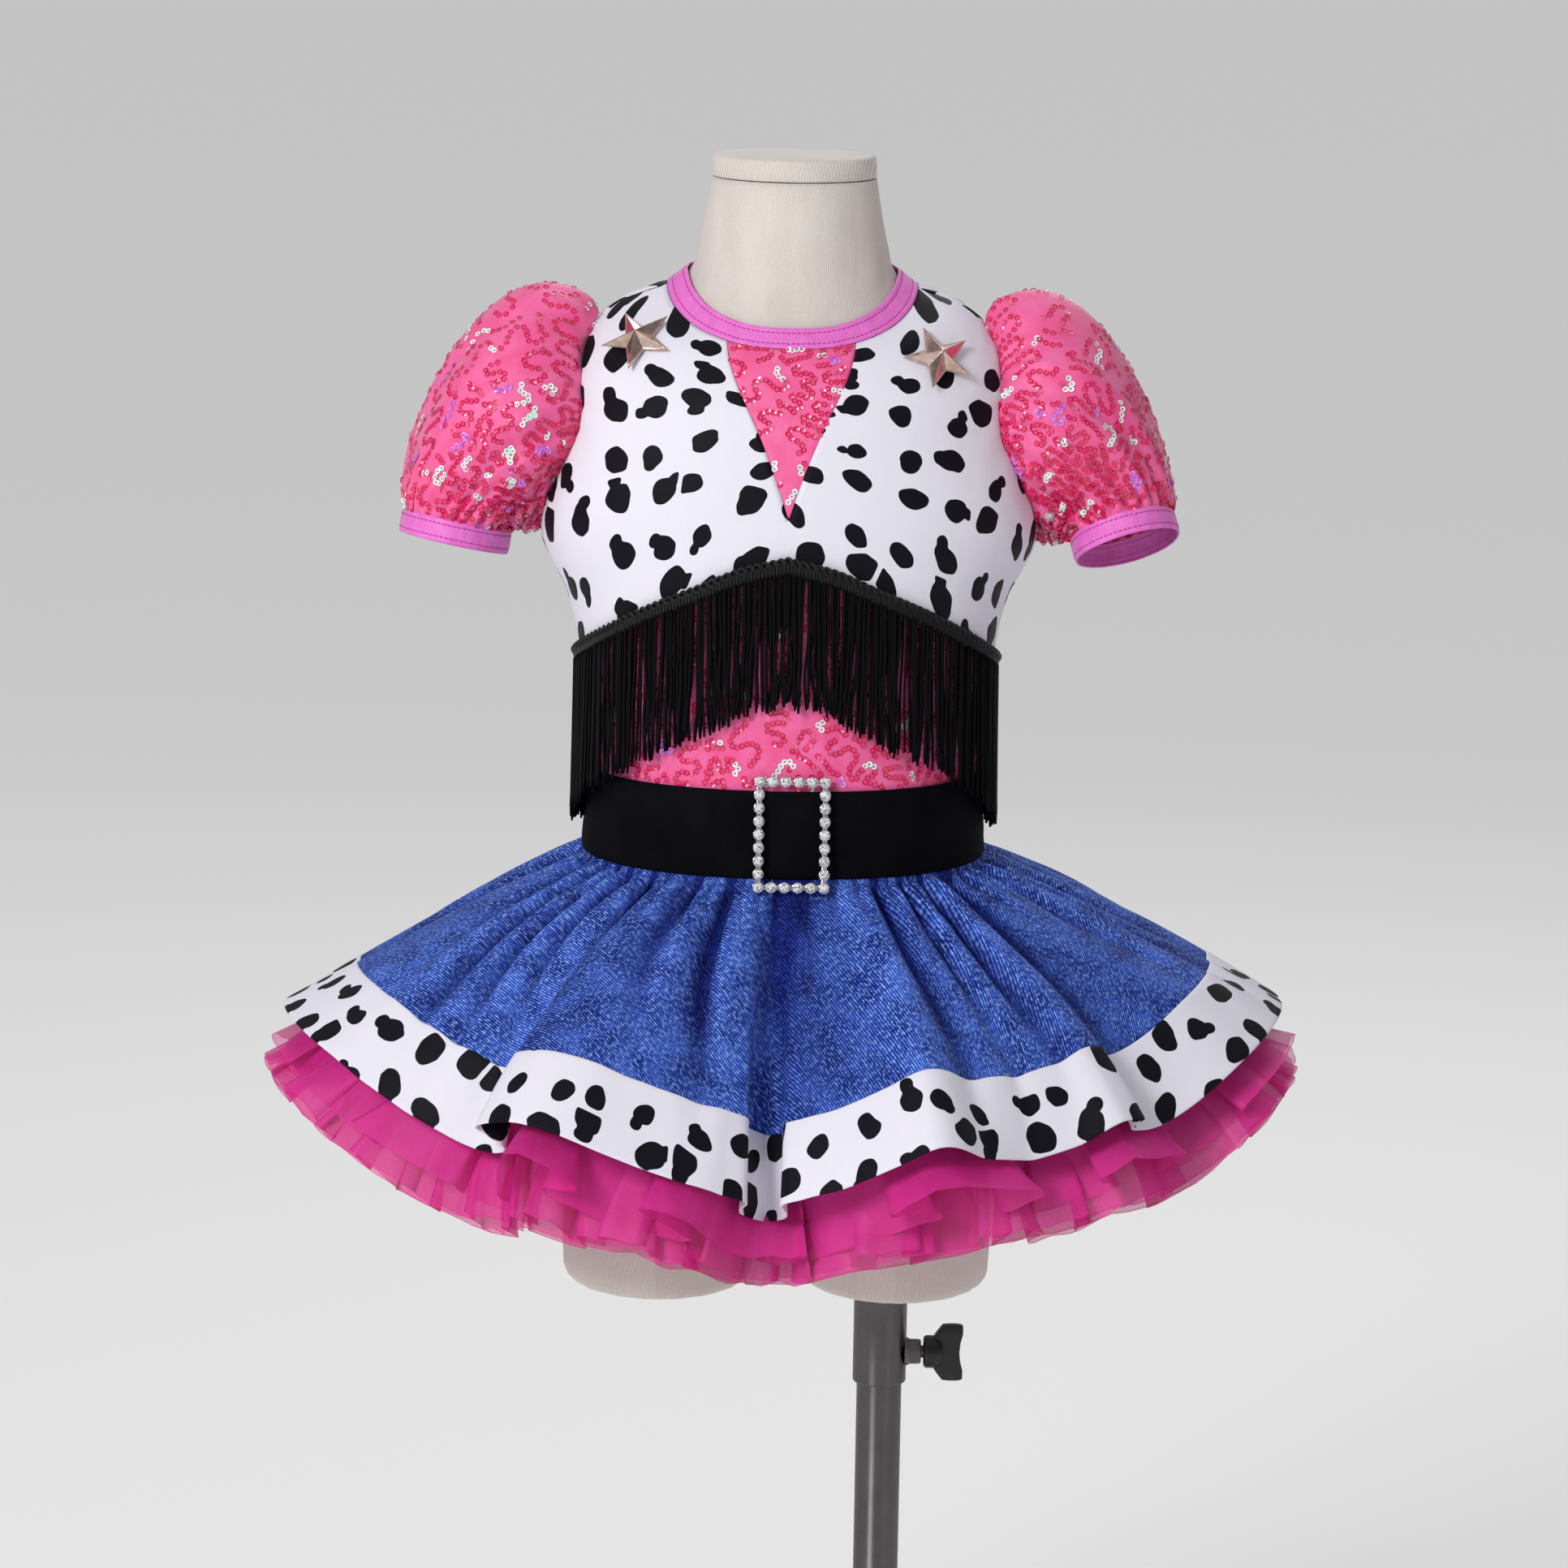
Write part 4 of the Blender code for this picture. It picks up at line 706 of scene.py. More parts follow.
back_reach = armhole_turn(front_shares, ARMHOLE_BACK_CUT)
back_turns = math.pi + back_reach[:, None] * np.linspace(-1, 1, 96)
back_from = math.pi - abs(back_turns - math.pi)
back_across = [run[-1] - np.interp(row, round_turns, run) for row, run in zip(back_from, round_run)]
back_across = np.sign(back_turns - math.pi) * np.array(back_across)
back_bare, _ = skin(back_turns, bodice_station(back_turns, front_shares[:, None]))
back_up = run_along(back_bare.transpose(1, 0, 2)).mean(axis=0)[:, None]
back_edge = abs(abs(back_across) - abs(back_across[:, :1]))
back_lift = CLOTH_LIFT + 0.00018 * (1 + soft_creases(back_across, back_up, 12, 0.05))
back_lift = back_lift - 0.00035 * hump(back_edge, 0.0011)
back_wave = np.sin((back_up * 1.3 + back_edge) * 2 * math.pi / 0.019)
back_lift = back_lift + 0.00030 * np.exp(-back_edge / 0.03) * (1 + back_wave)
back_points, _ = skin(back_turns, bodice_station(back_turns, front_shares[:, None]), back_lift)
bodice_back = lay_cloth(
    "bodice_back_cloth", back_points, back_across + 0.4, back_up, SPOTTED_PRINT, "spotted_print", ("bodice_back",),
    wall=0.0006,
)

# The sequinned cloth: coral pink stretch knit with ring sequins of 2.9 mm sewn on in wandering chains.
# The V between the bodice's sides and the midriff under the fringe are cut from it.
STRETCH_WALL = 0.0006
SEQUIN_PITCH = 0.00238
SEQUIN_RADIUS = 0.00145


def knitted_finish(name, roughness, slant, ribs, clouds, gap, low, high, knit_from, knit_to, cloud_rise, sheen):
    """Stretch cloth with ribs of knit or weave over soft clouds, and both in its relief."""
    finish = start_finish(name, roughness, Sheen_Weight=0.30, Sheen_Roughness=sheen)
    place = cut_of(finish)
    pitch, bend = ribs
    knit = ribs_of(finish, turned_place(finish, place, slant) if slant else place, pitch, "X", bend, 900.0)
    cloud = cloud_of(finish, place, *clouds)
    soft = shade_between(finish, cloud, low, high, 0.3, 0.7)
    paint(finish, shade_between(finish, knit, gap, soft, knit_from, knit_to))
    raise_relief(finish, reckon(finish, "MULTIPLY_ADD", cloud, cloud_rise, knit), 0.00005)
    return finish


SEQUIN_CLOTH = knitted_finish(
    "pink_sequin_ground", 0.42, 0, (0.00060, 1.0), (70.0, 4.0), (0.80, 0.065, 0.190), (0.92, 0.080, 0.300),
    (1.0, 0.195, 0.490), -0.4, 0.7, 8.0, 0.40,
)
# The pale mint-white and the violet rings are painted glints, coloured as if they caught the light; the lighter rose
# rings differ in tone at random.
SEQUIN_FINISHES = [
    clouded_finish(name, gloss, (480.0, 1.0), low, high, 0.35, 0.65, Metallic=metal, Coat_Weight=0.35)
    for name, low, high, metal, gloss in (
        ("sequin_pink", (0.60, 0.002, 0.062), (0.84, 0.010, 0.130), 0.0, 0.24),
        ("sequin_rose", (0.80, 0.050, 0.20), (1.0, 0.20, 0.36), 0.25, 0.16),
        ("sequin_painted_glint", (0.55, 1.0, 0.82), (1.0, 1.0, 1.0), 0.10, 0.10),
        ("sequin_painted_violet_glint", (0.62, 0.10, 0.72), (0.86, 0.38, 0.98), 0.25, 0.12),
    )
]


def wander_chains(width, height, seed):
    """Chains of sequin places on the flat cloth that wander in tight bends and keep clear of one another."""
    chance = np.random.default_rng(seed)
    cell = 0.0047
    taken = {}

    def clear(x, y, chain, step):
        column, row = int(x / cell), int(y / cell)
        for i in (column - 1, column, column + 1):
            for j in (row - 1, row, row + 1):
                for px, py, owner, count in taken.get((i, j), ()):
                    gap = (px - x) ** 2 + (py - y) ** 2
                    if owner == chain:
                        if step - count > 3 and gap < 0.0039**2:
                            return False
                    elif gap < 0.0045**2:
                        return False
        return True

    places = []
    starts = [(x, y) for x in np.arange(0.001, width, 0.0044) for y in np.arange(0.001, height, 0.0044)]
    for chain, k in enumerate(chance.permutation(len(starts))):
        x, y = np.array(starts[k]) + chance.uniform(-0.0015, 0.0015, 2)
        if not clear(x, y, chain, 0):
            continue
        base, swing = chance.uniform(0, 2 * math.pi), chance.uniform(1.35, 2.0)
        period, phase = chance.uniform(7, 12), chance.uniform(0, 2 * math.pi)
        run = []
        for step in range(int(chance.uniform(14, 60))):
            run.append((x, y))
            taken.setdefault((int(x / cell), int(y / cell)), []).append((x, y, chain, step))
            base += chance.uniform(-0.16, 0.16)
            heading = base + swing * math.sin(2 * math.pi * step / period + phase)
            for swerve in (0, 0.4, -0.4, 0.9, -0.9, 1.5, -1.5, 2.1, -2.1):
                next_x = x + SEQUIN_PITCH * math.cos(heading + swerve)
                next_y = y + SEQUIN_PITCH * math.sin(heading + swerve)
                inside = 0 < next_x < width and 0 < next_y < height
                if inside and clear(next_x, next_y, chain, step + 1):
                    base += swerve
                    break
            else:
                break
            x, y = next_x, next_y
        if len(run) < 5:
            continue
        run = np.array(run)
        kind = np.where(chance.random(len(run)) < 0.10, 1, 0)
        # In seven chains of ten, a run of two to seven rings takes a painted glint colour, mint-white or violet.
        if chance.random() < 0.70:
            first = chance.integers(0, len(run))
            kind[first : first + chance.integers(2, 8)] = 2 if chance.random() < 0.74 else 3
        heading = np.gradient(run, axis=0)
        places.append(np.column_stack([run, heading, kind]))
    return np.concatenate(places)


def sew_sequins(name, points, across, up, seed, closed=False, keep=None):
    """Ring sequins sewn along their chains on a cloth, as one mesh."""
    across, up = np.broadcast_arrays(across, up)
    if closed:
        points = np.concatenate([points, points[:, :1]], axis=1)
    heights = up.mean(axis=1)
    low_x, low_y = across.min(), heights[0]
    chains = wander_chains(across.max() - low_x, heights[-1] - low_y, seed)
    chains[:, :2] += (low_x, low_y)
    row = np.interp(chains[:, 1], heights, np.arange(len(heights)))
    below = np.clip(row.astype(int), 0, len(heights) - 2)
    rise = (row - below)[:, None]
    ends = []
    columns = np.arange(across.shape[1])
    for step in (0, 1):
        column = np.array([np.interp(x, across[r], columns, -1, -1) for x, r in zip(chains[:, 0], below + step)])
        left = np.clip(column.astype(int), 0, len(columns) - 2)
        part = (column - left)[:, None]
        end = points[below + step, left] * (1 - part) + points[below + step, left + 1] * part
        ends.append((end, left, column >= 0))
    (low_end, left, low_in), (high_end, _, high_in) = ends
    place = low_end * (1 - rise) + high_end * rise
    sideways = points[below, left + 1] - points[below, left]
    upward = points[below + 1, left] - points[below, left]
    out = np.cross(sideways, upward)
    good = low_in & high_in & (np.linalg.norm(out, axis=1) > 1e-12)
    if keep is not None:
        good &= keep(place)
    place, out, chains, sideways = (a[good] for a in (place, out, chains, sideways))
    out, sideways = unit(out), unit(sideways)
    upward = np.cross(out, sideways)
    chance = np.random.default_rng(seed + 1)
    along = unit(sideways * chains[:, 2:3] + upward * chains[:, 3:4])
    aside = np.cross(out, along)
    tilt = chance.normal(0, 0.10, (len(place), 2)) + (0.16, 0)
    facing = unit(out - along * tilt[:, :1] - aside * tilt[:, 1:])
    aside = unit(np.cross(facing, along))
    along = np.cross(aside, facing)
    centre = place + out * (STRETCH_WALL + 0.00040)
    sides = 10
    turns = (np.arange(sides) * 2 * math.pi / sides)[:, None]
    rings = []
    for radius, rise in ((SEQUIN_RADIUS, 0.0), (SEQUIN_RADIUS * 0.40, -0.00014)):
        level = centre[:, None] + radius * np.cos(turns) * along[:, None]
        rings.append(level + radius * np.sin(turns) * aside[:, None] + rise * facing[:, None])
    first = np.arange(len(place))[:, None] * 2 * sides
    k = np.arange(sides)
    n = (k + 1) % sides
    faces = np.stack([first + k, first + n, first + sides + n, first + sides + k], axis=-1).reshape(-1, 4)
    mesh = new_net(name, np.concatenate(rings, axis=1), faces.tolist(), *SEQUIN_FINISHES)
    mesh.polygons.foreach_set("material_index", np.repeat(chains[:, 4].astype(int), sides))
    return add_piece(name, mesh)


v_shares = np.linspace(V_TIP_SHARE + 0.012, 1.0, 44)
v_reach = v_turn(v_shares) - 0.00003 / 0.05
v_turns = v_reach[:, None] * np.linspace(-1, 1, 30)
v_across = v_turns * 0.055
v_up = (v_shares * 0.102)[:, None]
v_crease = 0.00012 * (1 + soft_creases(v_across, v_up, 21, 0.016))
v_edge = hump(abs(v_across[:, :1]) - abs(v_across), 0.0010)
v_points, _ = skin(v_turns, bodice_station(v_turns, v_shares[:, None]), CLOTH_LIFT + v_crease - 0.0003 * v_edge)
v_cloth = lay_cloth(
    "v_insert_cloth", v_points, v_across, v_up, SEQUIN_CLOTH, "sequin_cloth", ("v_insert",), wall=STRETCH_WALL
)
v_sequins = sew_sequins("v_insert_sequins", v_points, v_across, v_up, 31)

for midriff_name, midriff_middle, midriff_seed, midriff_cut, midriff_area in (
    ("midriff_front", 0.0, 41, (0.300, 0.157), 0.0378),
    ("midriff_back", math.pi, 51, (0.278, 0.109), 0.0272),
):
    midriff_turns = midriff_middle + (SIDE - SEAM_GAP / 2 / 0.09) * np.linspace(-1, 1, 86)
    low = station_at(midriff_turns, 0.590)
    high = seam_station(midriff_turns) - SEAM_GAP
    midriff_stations = low + (high - low) * np.linspace(0, 1, 34)[:, None]
    bare_points, _ = skin(midriff_turns, midriff_stations)
    midriff_across = run_along(bare_points)
    midriff_across = midriff_across - midriff_across[:, -1:] / 2
    midriff_up = midriff_stations - low.min()
    lift = CLOTH_LIFT + 0.00012 * (1 + soft_creases(midriff_across, midriff_up, midriff_seed, 0.03))
    midriff_points, _ = skin(midriff_turns, midriff_stations, lift - 0.0003 * hump(midriff_across, 0.0010))
    midriff_lie = (midriff_points, midriff_across, midriff_up)
    midriff_cloth = lay_cloth(
        f"{midriff_name}_cloth", *midriff_lie, SEQUIN_CLOTH, "sequin_cloth", (midriff_name,), wall=STRETCH_WALL
    )
    midriff_sequins = sew_sequins(
        f"{midriff_name}_sequins", *midriff_lie, midriff_seed, keep=lambda place: place[:, 2] > 0.6505
    )

# The neck binding: a folded strip of orchid pink stretch satin that closes the neckline, stitched down
# with a row of machine stitches near each edge.
BINDING = knitted_finish(
    "pink_binding", 0.48, 45, (0.00050, 0.6), (160.0, 5.0), (0.70, 0.090, 0.48), (0.85, 0.165, 0.62),
    (0.96, 0.25, 0.78), -0.2, 0.8, 4.0, 0.35,
)


def twisted_finish(name, roughness, slant, pitch, low, high, depth, **sockets):
    """Thread or cord whose plies wind round it."""
    finish = start_finish(name, roughness, **sockets)
    ply = ribs_of(finish, turned_place(finish, cut_of(finish), slant), pitch)
    paint(finish, shade_between(finish, ply, low, high))
    raise_relief(finish, ply, depth)
    return finish


THREAD = twisted_finish("pink_thread", 0.45, 35, 0.00030, (0.36, 0.012, 0.20), (0.58, 0.025, 0.34), 0.00006)

BINDING_WIDTH = 0.0104


def band_profile(share):
    """How far a folded band's outside stands proud across its width: pressed down at its two stitch rows."""
    fold = 0.00055 * np.sin(math.pi * np.clip(share, 0, 1)) ** 0.35
    return fold - 0.00022 * (hump(share - 0.21, 0.055) + hump(share - 0.79, 0.055))


def lay_cords(name, paths, radius, outward, finish, sides=6):
    """Round cords along many paths at once: paths are (cord, point, xyz), radius follows the points."""
    count, length = paths.shape[:2]
    radius = np.broadcast_to(np.asarray(radius, float), (count, length))
    tangent = unit(np.gradient(paths, axis=1))
    aside = unit(np.cross(tangent, np.broadcast_to(outward, paths.shape)))
    outward = np.cross(aside, tangent)
    turns = (np.arange(sides) * 2 * math.pi / sides)[:, None]
    round_out = np.cos(turns) * aside[:, :, None] + np.sin(turns) * outward[:, :, None]
    points = paths[:, :, None] + radius[..., None, None] * round_out
    starts = np.arange(count) * length * sides
    base = starts[:, None, None] + np.arange(length - 1)[:, None] * sides
    k = np.arange(sides)
    n = (k + 1) % sides
    faces = np.stack(np.broadcast_arrays(base + k, base + n, base + sides + n, base + sides + k), axis=-1)
    caps = [list(range(s + sides - 1, s - 1, -1)) for s in starts]
    caps += [list(range(s + (length - 1) * sides, s + length * sides)) for s in starts]
    mesh = new_net(name, points, faces.reshape(-1, 4).tolist() + caps, finish)
    wide = np.mean(radius) * 2 * math.pi / sides
    run = run_along(paths)
    side, low, high = np.broadcast_arrays(k * wide, run[:, :-1, None], run[:, 1:, None])
    flat = np.stack([side, low, side + wide, low, side + wide, high, side, high], axis=-1)
    cap_flat = np.zeros(2 * 2 * count * sides)
    mesh.uv_layers.new(name="cut").data.foreach_set("uv", np.concatenate([flat.reshape(-1), cap_flat]))
    return add_piece(name, mesh)


def sew_rows(name, edge_points, edge_out, lifts, pitch=0.00235):
    """Machine stitches along closed rows of points, each stitch a short thread that dips in at both ends."""
    stitches, directions = [], []
    dip = np.array([-0.00022, 0.0, 0.00013, 0.0, -0.00022]) + lifts
    for points, out in zip(edge_points, edge_out):
        run = run_along(points[None], closed=True)[0]
        loop, loop_out = np.concatenate([points, points[:1]]), np.concatenate([out, out[:1]])
        count = int(run[-1] / pitch)
        for s in np.arange(count) * run[-1] / count:
            at = (s + np.array([0.0, 0.10, 0.5, 0.90, 1.0]) * pitch * 0.74) % run[-1]
            place, normal = (
                np.stack([np.interp(at, run, a[:, k]) for k in range(3)], axis=1) for a in (loop, loop_out)
            )
            stitches.append(place + normal * dip[:, None])
            directions.append(normal)
    radius = 0.00025 * np.array([0.7, 1.0, 1.05, 1.0, 0.7])
    return lay_cords(name, np.array(stitches), radius, np.array(directions), THREAD)


neck_turns = ring_of(240, -math.pi)
neck_low = STATION["neckline"] + 2 * SEAM_GAP
band_shares = np.array([0, 0.03, 0.09, 0.15, 0.21, 0.27, 0.35, 0.5, 0.65, 0.73, 0.79, 0.85, 0.91, 0.97, 1.0])
STITCHED_ROWS = [4, 10]
neck_stations = neck_low + BINDING_WIDTH * band_shares
neck_lift = CLOTH_LIFT + 0.0004 + band_profile(band_shares)[:, None]
neck_lift = neck_lift + 0.00009 * np.sin(neck_turns * 37 + 3 * np.sin(neck_turns * 5))
neck_points, neck_out = skin(neck_turns, neck_stations[:, None], neck_lift)
neck_across, neck_up = run_along(neck_points, closed=True)[7], (neck_stations - neck_low)[:, None]
neck_band = lay_cloth(
    "neck_band", neck_points, neck_across, neck_up, BINDING, "binding", ("neck_binding",), closed=True, wall=0.0007
)
neck_stitches = sew_rows("neck_stitches", neck_points[STITCHED_ROWS], neck_out[STITCHED_ROWS], 0.00070)

# The puff sleeves: the same sequinned cloth, gathered into the armhole above and into a narrow band
# below, so that it stands out in a soft puff with short pleats at both ends.
CUFFS = {
    # side, centre x, y, z, half width, half depth, outward tilt, forward tilt
    "left": (-1, 0.1558, -0.004, 0.7633, 0.0250, 0.0315, 11.7, 6.0),
    "right": (1, 0.1565, -0.010, 0.7662, 0.0242, 0.0305, 17.5, 22.0),
}
SLEEVE_COLUMNS = 192
SLEEVE_WIDTH = 0.300
sleeve_rows = np.array([0, 0.012, 0.03, 0.05, *np.linspace(0.075, 0.92, 42), 0.945, 0.965, 0.98, 0.992, 1.0])


def cuff_ring(cuff, drops, turns, grow=0.0):
    """Rings round a cuff, these far down its axis, from its outer side forwards."""
    side, x, y, z, half_width, half_depth, outward, forward = cuff
    outward, forward = math.radians(outward), math.radians(forward)
    axis = unit(np.array([side * math.sin(outward), -math.sin(forward), -math.cos(outward)]))
    front = np.array([0.0, -1.0, 0.0])
    front = unit(front - axis * front.dot(axis))
    outer = np.cross(front, axis) * -side
    outer = outer if outer[0] * side > 0 else -outer
    centre = np.array([side * x, y, z])
    drops, grow = np.asarray(drops, float)[:, None, None], np.asarray(grow, float)
    grow = grow[..., None] if grow.ndim else grow
    round_out = outer * np.cos(turns)[None, :, None], front * np.sin(turns)[None, :, None]
    points = centre + axis * drops + round_out[0] * (half_width + grow) + round_out[1] * (half_depth + grow)
    return points, unit(round_out[0] + round_out[1]) + 0 * points, centre, axis


def gather_wave(places, count, seed, unevenness=0.45):
    """Pleats round a closed edge, of uneven width and depth, from -1 to 1."""
    chance = np.random.default_rng(seed)
    shift = sum(
        chance.uniform(0.3, 1.0) * np.sin(2 * math.pi * k * places + chance.uniform(0, 6.28)) for k in (1, 2, 3, 5, 8)
    )
    depth = 0.72 + 0.28 * sum(np.sin(2 * math.pi * k * places + chance.uniform(0, 6.28)) for k in (3, 7, 11)) / 3
    return depth * np.cos(2 * math.pi * count * places + unevenness * 2.2 * shift)


def puff_sleeve(cuff, seed):
    side = cuff[0]
    p, s = np.arange(SLEEVE_COLUMNS) / SLEEVE_COLUMNS, sleeve_rows[:, None]
    forward = p < 0.5
    along = np.where(forward, 1 - 2 * p, 2 * p - 1)
    shares = UNDERARM_SHARE + (SHOULDER_SHARE - UNDERARM_SHARE) * along
    turn = np.where(forward, armhole_turn(shares, ARMHOLE_FRONT_CUT), math.pi - armhole_turn(shares, ARMHOLE_BACK_CUT))
    armhole, _ = skin(turn, bodice_station(turn, shares), CLOTH_LIFT + 0.0004)
    armhole = armhole * (side, 1, 1)
    middle = armhole.mean(axis=0)
    ends, _, centre, axis = cuff_ring(cuff, [-SEAM_GAP], p * 2 * math.pi)
    ends = ends[0]
    chord = np.linalg.norm(ends - armhole, axis=1)[:, None]
    leave = unit(np.array([side * 0.80, 0, 0]) + unit((armhole - middle) * (0, 1, 1)) * 0.85) * chord * 1.62
    arrive = unit(axis + unit(centre - ends) * 0.35) * chord * 0.95
    t = s[..., None]
    points = curve_between(t, armhole, leave, ends, arrive)
    out = unit(points - (middle * (1 - t) + centre * t))
    swirl = p + 0.035 * np.sin(2 * math.pi * p + 1.0) * s + 0.020 * s * side
    large = gather_wave(swirl, 9, seed, 0.5) * np.sin(math.pi * np.clip(s, 0, 1)) ** 0.6
    upper = gather_wave(p + 0.006 * np.sin(s * 9), 31, seed + 1, 0.8)
    upper = upper * np.minimum(s / 0.03, 1) * np.exp(-((s / 0.17) ** 1.3))
    lower = gather_wave(p + 0.010 * np.sin(s * 7), 25, seed + 2, 0.7)
    lower = lower * np.minimum((1 - s) / 0.03, 1) * np.exp(-(((1 - s) / 0.24) ** 1.4))
    crumple = soft_creases(p * SLEEVE_WIDTH, s * 0.12, seed + 3, 0.022, 9) * np.minimum(s * (1 - s) * 16, 1)
    drag = hump(abs(p - 0.5), 0.13) * np.sin(2 * math.pi * (s * 4.2 + p * 7)) * np.minimum(s * (1 - s) * 10, 1)
    head = 0.0050 * hump(np.minimum(p, 1 - p), 0.14) * (1 - np.exp(-s / 0.02)) * np.exp(-((s / 0.22) ** 1.5))
    relief = head + 0.0017 * large + 0.0015 * upper + 0.0020 * lower + 0.0007 * crumple + 0.0013 * drag
    points = points + out * relief[..., None]
    across = np.arange(SLEEVE_COLUMNS + 1) / SLEEVE_COLUMNS * SLEEVE_WIDTH
    up = run_along(points.transpose(1, 0, 2)).mean(axis=0)[:, None]
    return points[:, ::-1] if side < 0 else points, across, up


def cuff_band(cuff, seed):
    turns = ring_of(160)[:: cuff[0]]
    wave = 0.00012 * np.sin(turns * 31 + 3 * np.sin(turns * 4 + seed)) + 0.0006 * np.sin(turns * 3 + seed)
    grow = band_profile(band_shares)[:, None] + wave * (0.35 + 0.65 * band_shares[:, None])
    return cuff_ring(cuff, BINDING_WIDTH * band_shares, turns, grow)[:2]


for label, cuff in CUFFS.items():
    sleeve_seed = 61 if label == "left" else 81
    sleeve_lie = puff_sleeve(cuff, sleeve_seed)
    sleeve_cloth = lay_cloth(
        f"sleeve_{label}_cloth", *sleeve_lie, SEQUIN_CLOTH, "sequin_cloth", (f"sleeve_{label}",), closed=True,
        wall=STRETCH_WALL,
    )
    sleeve_sequins = sew_sequins(f"sleeve_{label}_sequins", *sleeve_lie, sleeve_seed + 5, closed=True)
    cuff_points, cuff_out = cuff_band(cuff, sleeve_seed)
    cuff_across = run_along(cuff_points, closed=True)[7]
    cuff_cloth = lay_cloth(
        f"cuff_{label}_band", cuff_points, cuff_across, (BINDING_WIDTH * band_shares)[:, None], BINDING, "binding",
        (f"cuff_{label}",), closed=True, wall=0.0008,
    )
    cuff_stitches = sew_rows(
        f"cuff_{label}_stitches", cuff_points[STITCHED_ROWS], cuff_out[STITCHED_ROWS], 0.00080
    )

# The fringe: black twisted rayon strands hung close together from a narrow braid that covers the seam
# between bodice and midriff. They part here and there, and lie over the belt at the sides.
FRINGE = start_finish("fringe_rayon", 0.50, Specular_IOR_Level=0.08)
fringe_place = cut_of(FRINGE)
fringe_ply = ribs_of(FRINGE, turned_place(FRINGE, fringe_place, 52), 0.00062)
fringe_fuzz = cloud_of(FRINGE, fringe_place, 2600.0, 2.0)
fringe_lines = weigh(FRINGE, fringe_fuzz, 0.35, fringe_ply, 0.65)
paint(FRINGE, shade_between(FRINGE, fringe_lines, (0.0005, 0.0005, 0.0007), (0.0065, 0.0062, 0.0075), 0.15, 0.95))
raise_relief(FRINGE, fringe_lines, 0.00022)

BRAID = twisted_finish(
    "fringe_braid", 0.36, 40, 0.00050, (0.0005, 0.0005, 0.0007), (0.0080, 0.0076, 0.0090), 0.00020,
    Specular_IOR_Level=0.42,
)

BELT_TOP = 0.6495
BELT_CLOTH = 0.0018
STRAND_LENGTHS = (
    # azimuth, strand length
    (0, 0.0605), (16, 0.0615), (28, 0.0645), (44, 0.0655), (60, 0.0670),
    (75, 0.0710), (90, 0.0740), (110, 0.0730), (135, 0.0720), (180, 0.0710),
)


def header_place(turns, rise, lift):
    return skin(turns, seam_station(turns) - 0.0020 + rise, OVER_LIFT + lift)


def hang_strands(name, middle, count, seed):
    """Strands of one half of the fringe, each hanging plumb from the braid with a sway of its own."""
    chance = np.random.default_rng(seed)
    reach = SIDE - 0.004
    part = np.linspace(0, 1, 15)
    paths, outs = [], []
    for share, depth in ((0.56, 0.0), (0.44, 0.0011)):
        number = int(count * share)
        turns = middle - reach + 2 * reach * (np.arange(number) + 0.5 + chance.uniform(-0.32, 0.32, number)) / number
        roots, out = header_place(turns, 0.0004, 0.0009 + depth)
        out = unit(out * (1, 1, 0))
        along = np.stack([-out[:, 1], out[:, 0], 0 * out[:, 0]], axis=1)
        wrapped = np.degrees(abs((turns + math.pi) % (2 * math.pi) - math.pi))
        drop = smooth_table(wrapped, STRAND_LENGTHS) * (1 + 0.022 * chance.normal(0, 1, number).clip(-2, 2))
        below = []
        for level in (0.25, 0.45, 0.6, 0.75, 0.88, 1.0):
            heights = roots[:, 2] - drop * level
            lift = OVER_LIFT + 0.0010 + depth + np.where(heights < BELT_TOP + 0.004, BELT_CLOTH, 0.0)
            cover, _ = skin(turns, station_at(turns, heights), lift)
            below.append(((cover - roots) * out).sum(axis=1) / level)
        lean = np.maximum(np.max(below, axis=0), 0.0005)[:, None]
        bunch = 0.0017 * np.sin(turns * 29 + 2 * np.sin(turns * 9)) + chance.normal(0, 0.0007, number)
        curl = chance.normal(0, 0.00060, number)[:, None]
        beat = chance.uniform(0, 6.28, number)[:, None]
        sway = bunch[:, None] * part**1.5 + curl * np.sin(part * 9 + beat) * part
        paths.append(
            roots[:, None]
            + np.array([0, 0, -1.0]) * (drop[:, None] * part)[..., None]
            + out[:, None] * (lean * part + 0.0004 * part**2)[..., None]
            + along[:, None] * sway[..., None]
        )
        outs.append(np.repeat(out[:, None], len(part), axis=1))
    paths, outs = np.concatenate(paths), np.concatenate(outs)
    radius = 0.00075 * (1 + 0.12 * chance.normal(0, 1, len(paths)).clip(-2, 2))[:, None] * np.ones(len(part))
    radius[:, -1] *= 0.72
    radius[:, -2] *= 1.12
    return lay_cords(name, paths, radius, outs, FRINGE, sides=7)


